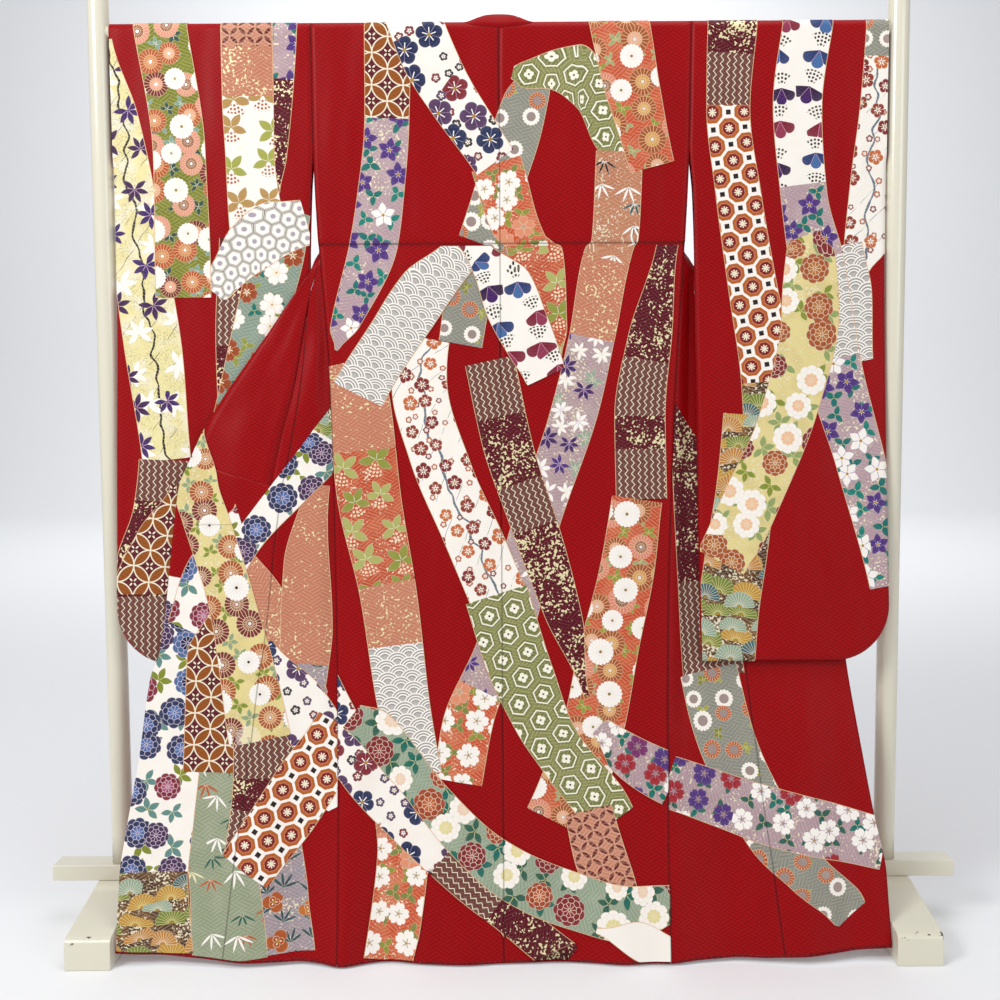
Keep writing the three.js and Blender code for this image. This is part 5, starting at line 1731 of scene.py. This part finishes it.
REPEATS: dict[Fill, Repeat] = {
    Fill.SHIPPO_BROWN: Repeat(CREAM, linked_circles, (28.0, "#5A1020", "#8E4A12", CREAM), bare=0.1),
    Fill.SHIPPO_SALMON: Repeat(SALMON, linked_circles, (15.0, "#C07A60", "#6A1410", "#C88A70")),
    Fill.HEX_WHITE: Repeat(WHITE, hexagons, (27.0, "#6E6458", "#A89CA8", False), bare=0.1),
    Fill.HEX_MOSS: Repeat("#6E723A", hexagons, (47.0, "#F0EBD8", "#A09E62", True)),
    Fill.OCTAGON: Repeat("#B05A1C", octagons, (40.0,), bare=0.1),
    Fill.WAVES: Repeat(GREY, scale_waves, (22.0,), bare=0.1),
    Fill.ZIGZAG: Repeat("#4A0E18", zigzags, bare=0.1),
    Fill.FLECK_MAROON: Repeat(MAROON, sprinkle, (4.6, 1.0, "#EBDFB0"), bare=0.1),
    Fill.FLECK_SALMON: Repeat(SALMON, sprinkle, (5.4, 0.55, "#F0E4B0")),
    Fill.WHITE: Repeat(WHITE),
}


def group(
    name: str, inputs: Sequence[str], outputs: dict[str, str]
) -> tuple[Tree, list[Value], dict[str, Socket]]:
    """Makes a shader node group with number inputs.

    Args:
        name: The group's name.
        inputs: Names of its inputs, all numbers.
        outputs: Names of its outputs and their kinds of socket.

    Returns:
        The group's tree, its inputs as values, and its output sockets by name.
    """
    tree = bpy.data.node_groups.new(name, "ShaderNodeTree")
    for label in inputs:
        tree.interface.new_socket(label, in_out="INPUT", socket_type="NodeSocketFloat")
    for label, kind in outputs.items():
        tree.interface.new_socket(label, in_out="OUTPUT", socket_type=kind)
    entry = tree.nodes.new("NodeGroupInput")
    leave = tree.nodes.new("NodeGroupOutput")
    values = [Value(tree, entry.outputs[label]) for label in inputs]
    return tree, values, {label: leave.inputs[label] for label in outputs}


def fill_group(fill: Fill) -> Tree:
    """The picture of a fill as a node group of place across and along, in metres."""
    tree, (across, along), out = group(
        fill.value,
        ("Across", "Along"),
        {"Colour": "NodeSocketColor", "Gold": "NodeSocketFloat", "Bare": "NodeSocketFloat"},
    )
    picture = FLORALS.get(fill) or REPEATS[fill]
    canvas = Canvas(tree, picture.ground)
    picture.draw(canvas, across * 1000.0, along * 1000.0)
    tree.links.new(blend(tree, canvas.colour, canvas.colour, 0.0), out["Colour"])
    attach(tree, out["Gold"], canvas.gold)
    attach(tree, out["Bare"], canvas.bare)
    return tree


def weave_group() -> Tree:
    """The figured satin: slanting lines that change their way from block to block, and soft clouds."""
    tree, (across, along), out = group("figured weave", ("Across", "Along"), {"Tone": "NodeSocketFloat"})
    u, v = across * 1000.0, along * 1000.0
    first, second = u * 0.5 + v * 0.87, u * 0.5 - v * 0.87
    block = 17.4
    checks = (first * (1 / block)).then("FLOOR") + (second * (1 / block)).then("FLOOR")
    odd = abs(checks).then("MODULO", 2.0)
    lines = [abs(way.wrap(5.8)).under(1.15, 1.0) for way in (first, second)]
    fret = lines[0].mixed(lines[1], odd)
    cloud = noise(u, v, 190.0, 4.0, 3.0)
    attach(tree, out["Tone"], fret * 0.55 + (cloud - 0.5) * 0.34)
    return tree


def relief_group() -> Tree:
    """Soft crumple of hanging silk as a surface normal."""
    tree, (amount,), out = group("silk relief", ("Amount",), {"Normal": "NodeSocketVector"})
    place_of = tree.nodes.new("ShaderNodeTexCoord")
    stretch = tree.nodes.new("ShaderNodeMapping")
    stretch.inputs["Scale"].default_value = (9.0, 9.0, 2.6)
    cloud = tree.nodes.new("ShaderNodeTexNoise")
    cloud.inputs["Scale"].default_value = 1.0
    cloud.inputs["Detail"].default_value = 2.0
    tree.links.new(place_of.outputs["Object"], stretch.inputs["Vector"])
    tree.links.new(stretch.outputs[0], cloud.inputs["Vector"])
    bump = tree.nodes.new("ShaderNodeBump")
    bump.inputs["Distance"].default_value = 0.012
    attach(tree, bump.inputs["Strength"], amount)
    tree.links.new(cloud.outputs["Fac"], bump.inputs["Height"])
    tree.links.new(bump.outputs["Normal"], out["Normal"])
    return tree


def seam_shade_group() -> Tree:
    """How near a place is to a seam, from the mesh's three distances: 1 on the seam line. It sets where
    painted shade darkens the silk along the seams.
    """
    tree, _, out = group("seam", (), {"Mask": "NodeSocketFloat"})
    attribute = tree.nodes.new("ShaderNodeAttribute")
    attribute.attribute_name = "seams"
    parts = tree.nodes.new("ShaderNodeSeparateXYZ")
    tree.links.new(attribute.outputs["Vector"], parts.inputs[0])
    near = [abs(Value(tree, parts.outputs[k])) * 1000.0 for k in range(3)]
    attach(tree, out["Mask"], smallest(smallest(near[0], near[1]), near[2]).under(1.2, 1.4))
    return tree


@dataclass(frozen=True)
class SilkFinish:
    """How the silk takes the light."""

    roughness: float = 0.44
    sheen: float = 0.01
    crumple: float = 0.95
    specular: float = 0.14


class Silks:
    """Makes the garment's materials from shared node groups."""

    def __init__(self, finish: SilkFinish) -> None:
        self.finish = finish
        self.weave = weave_group()
        self.relief = relief_group()
        self.seam = seam_shade_group()

    def start(self, name: str) -> tuple[Material, Tree, bpy.types.Node, Value, Value]:
        """A material with its surface node and its map's two coordinates."""
        material = bpy.data.materials.new(name)
        material.use_nodes = True
        tree = material.node_tree
        surface = tree.nodes["Principled BSDF"]
        surface.inputs["Roughness"].default_value = self.finish.roughness
        surface.inputs["Sheen Weight"].default_value = self.finish.sheen
        surface.inputs["Sheen Roughness"].default_value = 0.4
        surface.inputs["Specular IOR Level"].default_value = self.finish.specular
        folds = self.node(tree, self.relief)
        folds.inputs["Amount"].default_value = self.finish.crumple
        tree.links.new(folds.outputs["Normal"], surface.inputs["Normal"])
        flat = tree.nodes.new("ShaderNodeUVMap")
        flat.uv_map = "cloth"
        ways = tree.nodes.new("ShaderNodeSeparateXYZ")
        tree.links.new(flat.outputs[0], ways.inputs[0])
        return material, tree, surface, Value(tree, ways.outputs[0]), Value(tree, ways.outputs[1])

    def node(self, tree: Tree, inner: Tree) -> bpy.types.Node:
        """Adds a node that uses a group."""
        node = tree.nodes.new("ShaderNodeGroup")
        node.node_tree = inner
        return node

    def woven(
        self, tree: Tree, colour: Paint, across: Value, along: Value, depth: Number, light: str
    ) -> Paint:
        """A colour with the weave's tones and painted shade along the seams, darkened towards black as if in
        the seams' creases.
        """
        weave = self.node(tree, self.weave)
        attach(tree, weave.inputs["Across"], across)
        attach(tree, weave.inputs["Along"], along)
        tone = Value(tree, weave.outputs["Tone"])
        lighter = blend(tree, colour, light, tone.then("MULTIPLY", depth, clamp=True))
        # painted shade: the colour is darkened towards black on the seam lines, standing in for the shadow in
        # the seams' creases
        seam = Value(tree, self.node(tree, self.seam).outputs["Mask"])
        return blend(tree, lighter, BLACK, seam * 0.5)

    def plain(self, name: str, colour: str, depth: float) -> Material:
        """Silk of one colour."""
        material, tree, surface, across, along = self.start(name)
        shaded = self.woven(tree, colour, across, along, depth, FRET_RED)
        tree.links.new(shaded, surface.inputs["Base Color"])
        return material

    def ribbon(self, fill: Fill) -> Material:
        """A ribbon's fill, with a thin line of dull gold along its edges."""
        material, tree, surface, across, along = self.start(f"ribbon of {fill.value}")
        picture = self.node(tree, fill_group(fill))
        attach(tree, picture.inputs["Across"], across)
        attach(tree, picture.inputs["Along"], along)
        attribute = tree.nodes.new("ShaderNodeAttribute")
        attribute.attribute_name = "rim"
        edge = (Value(tree, attribute.outputs["Fac"]) * 1000.0).under(1.1, 0.5)
        gold = Value(tree, picture.outputs["Gold"])
        depth = Value(tree, picture.outputs["Bare"]) * 0.28 + 0.04
        colour = blend(tree, picture.outputs["Colour"], EDGE_GOLD, edge)
        shaded = self.woven(tree, colour, across, along, depth, CREAM)
        tree.links.new(shaded, surface.inputs["Base Color"])
        attach(tree, surface.inputs["Metallic"], biggest(gold * 0.7, edge * 0.25))
        attach(tree, surface.inputs["Roughness"], gold.then("MULTIPLY_ADD", -0.14, 0.52))
        return material


@dataclass(frozen=True)
class Enamel:
    """Ivory gloss enamel over wood, chipped where the ends are knocked."""

    colour: str = "#DDD8C4"
    wood: str = "#3A2A20"
    roughness: float = 0.2

    def material(self) -> Material:
        """Makes the material."""
        material = bpy.data.materials.new("ivory enamel")
        material.use_nodes = True
        tree = material.node_tree
        surface = tree.nodes["Principled BSDF"]
        spot = tree.nodes.new("ShaderNodeTexCoord")
        parts = tree.nodes.new("ShaderNodeSeparateXYZ")
        tree.links.new(spot.outputs["Object"], parts.inputs[0])
        x, y, z = (Value(tree, parts.outputs[k]) * 1000.0 for k in range(3))
        chips = noise(x, z + y, 14.0, 2.0, 3.0).over(0.66, 0.02)
        ends = abs(x).over(RAIL_HALF_LENGTH / MM - 4, 3.0)
        toes = abs(y).over(FOOT_HALF_LENGTH / MM - 12, 3.0) * z.over(FOOT_TOE / MM - 5, 3.0)
        worn = chips * biggest(ends, toes)
        tree.links.new(blend(tree, self.colour, self.wood, worn), surface.inputs["Base Color"])
        attach(tree, surface.inputs["Roughness"], worn.then("MULTIPLY_ADD", 0.5, self.roughness))
        surface.inputs["Coat Weight"].default_value = 0.4
        surface.inputs["Coat Roughness"].default_value = 0.12
        return material


@dataclass
class Stand:
    """The kimono stand: two posts on feet, a low rail and the rod that carries the garment."""

    enamel: Material

    def lathe(self, name: str, profile: Array, axis: Array, start: Array) -> Thing:
        """A body turned round an axis from rows of radius and distance along the axis."""
        turns = np.linspace(0, 2 * np.pi, 65)[None, :]
        side = np.cross(axis, (0.0, 1.0, 0.0))
        ahead = np.cross(axis, side)
        out = np.cos(turns)[..., None] * side + np.sin(turns)[..., None] * ahead
        radius, along = profile[:, 0][:, None, None], profile[:, 1][:, None, None]
        points = start + axis * along + out * radius
        draft = MeshDraft()
        uv = flat_map(0 * turns, 0 * profile[:, 1][:, None])
        draft.add(points, uv, np.broadcast_to(out, points.shape))
        return draft.build(name, [self.enamel], weld=0.00001)

    def post(self, half: Half) -> Thing:
        """A round post with a softly rounded top."""
        turn = np.linspace(0, np.pi / 2, 7)
        cap = 0.005
        top = [POST_RADIUS - cap + cap * np.cos(turn), POST_TOP - cap + cap * np.sin(turn)]
        straight = np.linspace(RAIL_TOP, POST_TOP - cap, 30)[:-1]
        shaft = [np.full(len(straight), POST_RADIUS), straight]
        profile = np.concatenate([
            [(0.0, RAIL_TOP)], np.stack(shaft, axis=-1), np.stack(top, axis=-1), [(0.0, POST_TOP)]
        ])
        start = np.array((half.sign * POST_X, 0.0, 0.0))
        return self.lathe(f"stand_post_{half.name}", profile, np.array((0.0, 0.0, 1.0)), start)

    def rod(self) -> Thing:
        """The rod between the posts, its ends let into them."""
        reach = POST_X - POST_RADIUS + 0.008
        profile = np.array([(0.0, -reach), (ROD_RADIUS, -reach), (ROD_RADIUS, reach), (0.0, reach)])
        return self.lathe("stand_rod", profile, np.array((1.0, 0.0, 0.0)), np.array((0.0, 0.0, ROD_HEIGHT)))

    def prism(self, name: str, outline: Array, low: float, high: float) -> Thing:
        """A bar across from low to high with an outline in depth and height, its edges slightly rounded."""
        count = len(outline)
        points = np.zeros((2, count, 3))
        points[..., 1:] = outline
        points[0, :, 0], points[1, :, 0] = low, high
        ring = np.arange(count)
        after = (ring + 1) % count
        sides = [(a, b, b + count, a + count) for a, b in zip(ring.tolist(), after.tolist())]
        faces = [tuple(ring[::-1].tolist()), tuple((ring + count).tolist()), *sides]
        mesh = bpy.data.meshes.new(name)
        mesh.from_pydata(points.reshape(-1, 3).tolist(), [], faces)
        mesh.materials.append(self.enamel)
        work = bmesh.new()
        work.from_mesh(mesh)
        bmesh.ops.recalc_face_normals(work, faces=work.faces)
        work.to_mesh(mesh)
        work.free()
        mesh.polygons.foreach_set("use_smooth", np.ones(len(mesh.polygons), dtype=bool))
        thing = bpy.data.objects.new(name, mesh)
        bpy.context.scene.collection.objects.link(thing)
        edge = thing.modifiers.new("edge", "BEVEL")
        edge.width = 0.0018
        edge.segments = 3
        edge.limit_method = "ANGLE"
        edge.angle_limit = math.radians(35)
        edge.harden_normals = True
        return thing

    def rail(self) -> Thing:
        """The low rail that joins the feet."""
        corners = ((-1, RAIL_BOTTOM), (1, RAIL_BOTTOM), (1, RAIL_TOP), (-1, RAIL_TOP))
        outline = np.array([(side * RAIL_HALF_DEPTH, level) for side, level in corners])
        return self.prism("stand_rail", outline, -RAIL_HALF_LENGTH, RAIL_HALF_LENGTH)

    def foot(self, half: Half) -> Thing:
        """A foot: flat below, a low toe at each end and a rounded slope up to the block under the rail."""
        shelf = RAIL_HALF_DEPTH + 0.008
        top = RAIL_BOTTOM - 0.0003
        toe = [(FOOT_HALF_LENGTH, 0.0), (FOOT_HALF_LENGTH - 0.002, FOOT_TOE - 0.006)]
        pull = (FOOT_HALF_LENGTH - 0.004, FOOT_TOE + 0.003)
        end = (FOOT_HALF_LENGTH - 0.014, FOOT_TOE + 0.006)
        nose = curve(toe[-1], pull, end)
        slope = curve(nose[-1], (shelf + 0.052, top - 0.012), (shelf, top))
        right = [*toe, *nose[1:], *slope[1:]]
        outline = np.array(right + [(-y, z) for y, z in reversed(right)])
        low = half.sign * POST_X - FOOT_WIDTH / 2
        return self.prism(f"stand_foot_{half.name}", outline, low, low + FOOT_WIDTH)


def curve(start: Sequence[float], pull: Sequence[float], end: Sequence[float]) -> list[tuple[float, float]]:
    """Points of a curve from start to end, drawn towards pull."""
    out = []
    for k in range(9):
        t = k / 8
        weights = ((1 - t) ** 2, 2 * t * (1 - t), t * t)
        out.append(tuple(sum(w * p[axis] for w, p in zip(weights, (start, pull, end))) for axis in (0, 1)))
    return out


# Studio

CAMERA_PLACE = (-0.0025, -2.12, 0.94)
CAMERA_FOCAL_PIXELS = 1160
PICTURE_PIXELS = 1000
CAMERA_PITCH_DEGREES = -4.1
CAMERA_ROLL_DEGREES = -0.33

# The backdrop: its front edge, its wall and how high that is, half its width, and the bend from floor to wall
FLOOR_FRONT = -12.0
WALL_Y = 11.0
WALL_TOP = 9.0
WALL_HALF_WIDTH = 14.0
BEND = 2.0


def camera() -> None:
    """Sets the camera where the photographer stood."""
    lens = bpy.data.cameras.new("camera")
    lens.sensor_width = 36
    lens.lens = CAMERA_FOCAL_PIXELS / PICTURE_PIXELS * 36
    viewer = bpy.data.objects.new("camera", lens)
    turn = mathutils.Matrix.Rotation(math.radians(90 + CAMERA_PITCH_DEGREES), 4, "X")
    roll = mathutils.Matrix.Rotation(math.radians(CAMERA_ROLL_DEGREES), 4, "Z")
    viewer.matrix_world = mathutils.Matrix.Translation(CAMERA_PLACE) @ turn @ roll
    bpy.context.scene.collection.objects.link(viewer)
    bpy.context.scene.camera = viewer


@dataclass(frozen=True)
class Softbox:
    """A large soft lamp that looks at a point of the garment."""

    name: str
    place: tuple[float, float, float]
    size: float
    power: float
    target: tuple[float, float, float] = (0.0, 0.0, 0.9)

    def build(self) -> None:
        """Makes the lamp."""
        lamp = bpy.data.lights.new(self.name, "AREA")
        lamp.size = self.size
        lamp.energy = self.power
        thing = bpy.data.objects.new(self.name, lamp)
        thing.location = self.place
        way = mathutils.Vector(self.target) - mathutils.Vector(self.place)
        thing.rotation_euler = way.to_track_quat("-Z", "Y").to_euler()
        bpy.context.scene.collection.objects.link(thing)


SOFTBOXES = (
    Softbox("front left", (-2.4, -2.4, 2.9), 1.2, 78),
    Softbox("front right", (2.6, -2.8, 2.0), 1.6, 22),
    Softbox("above", (0.2, -0.5, 3.4), 2.0, 30),
    Softbox("backdrop", (0.0, 5.5, 6.0), 5.0, 330, (0.0, 9.6, 1.6)),
)


def studio() -> None:
    """Pale floor and surroundings, soft lamps and the picture's colour settings."""
    scene = bpy.context.scene
    world = bpy.data.worlds.new("studio")
    world.use_nodes = True
    background = world.node_tree.nodes["Background"]
    background.inputs[0].default_value = (0.95, 0.97, 1.0, 1.0)
    background.inputs[1].default_value = 0.46
    scene.world = world
    turn = np.linspace(0, np.pi / 2, 13)
    bend = [(WALL_Y + BEND * (math.sin(t) - 1), BEND * (1 - math.cos(t))) for t in turn]
    profile = np.array([(FLOOR_FRONT, 0.0), *bend, (WALL_Y, WALL_TOP)])[:, None, :]
    across = np.linspace(-WALL_HALF_WIDTH, WALL_HALF_WIDTH, 3)[None, :]
    depth, height = profile[..., 0], profile[..., 1]
    points = np.stack(np.broadcast_arrays(across, depth, height), axis=-1)
    material = bpy.data.materials.new("backdrop")
    material.use_nodes = True
    surface = material.node_tree.nodes["Principled BSDF"]
    surface.inputs["Base Color"].default_value = (0.88, 0.885, 0.9, 1.0)
    surface.inputs["Roughness"].default_value = 0.8
    draft = MeshDraft()
    draft.add(points, points[..., :2], np.array((0.0, -0.5, 1.0)))
    draft.build("backdrop", [material])
    for softbox in SOFTBOXES:
        softbox.build()
    scene.view_settings.view_transform = "Standard"
    scene.view_settings.look = "None"


def hem_lines() -> dict[str, Array]:
    """The lines of points along which the hem's rolled edges run, by CAD node."""
    lines = {}
    for half in HALVES:
        share = np.linspace(0.004, 1, 60)
        lines[f"hem_roll_{half.name}"] = front_surface(half)(share, hemmed(LENGTH, share))
    ends = [half.sign * half.side.at("x", LENGTH) for half in HALVES]
    x = np.linspace(ends[0] + 0.0005, ends[1] - 0.0005, 90)
    lines["hem_roll_back"] = place(x, LENGTH + 0 * x, CLOTH / 2 + tuck(LENGTH + 0 * x))
    return lines


def add(thing: Thing, node: Optional[str]) -> Thing:
    """Puts a piece in the frame: it rides on the root and takes the place of a CAD node."""
    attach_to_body(thing, "root")
    if node:
        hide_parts(node)
    return thing


def dress() -> None:
    """Makes the garment with its ribbons."""
    silks = Silks(SilkFinish())
    garment = Garment(silks.plain("crimson silk", RED, 0.9), silks.plain("dark red silk", DARK_RED, 0.6))
    fills = {fill: silks.ribbon(fill) for fill in FILLS}
    rolls = {
        name: add(garment.hem_roll(f"cloth_{name}", line), name)
        for name, line in hem_lines().items()
    }
    collar = add(garment.collar(), "collar")
    for half in HALVES:
        left = half is LEFT
        body = add(garment.body(half), f"body_{half.name}")
        okumi = add(garment.okumi(half), f"okumi_{half.name}")
        sleeve = add(garment.sleeve(half), f"sleeve_{half.name}")
        uppers = UPPER if not left else tuple(ribbon.mirrored() for ribbon in UPPER)
        fronts, sleeves = (LEFT_FRONT, LEFT_SLEEVE) if left else (RIGHT_FRONT, RIGHT_SLEEVE)
        skirt = [front_panel(half, part) for part in (FrontPart.SKIRT, FrontPart.CORNER)]
        works = {
            "back": RibbonWork(f"ribbons_back_{half.name}", [back_panel(half)], BACK),
            "upper": RibbonWork(f"ribbons_upper_{half.name}", [front_panel(half, FrontPart.UPPER)], uppers),
            "front": RibbonWork(f"ribbons_front_{half.name}", skirt, fronts),
            "near": RibbonWork(f"ribbons_sleeve_{half.name}_near", [sleeve_panel(half, False)], sleeves),
            "far": RibbonWork(f"ribbons_sleeve_{half.name}_far", [sleeve_panel(half, True)], sleeves),
        }
        dyed = {name: add(work.build(fills), None) for name, work in works.items()}


def furnish() -> None:
    """Makes the stand."""
    stand = Stand(Enamel().material())
    for half in HALVES:
        add(stand.post(half), f"post_{half.name}")
        add(stand.foot(half), f"foot_{half.name}")
    add(stand.rail(), "rail")
    add(stand.rod(), "rod")


def main() -> None:
    """Builds the whole scene."""
    logging.basicConfig(level=logging.INFO)
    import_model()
    furnish()
    dress()
    studio()
    camera()
    LOG.info("scene built")


if __name__ == "__main__":
    main()
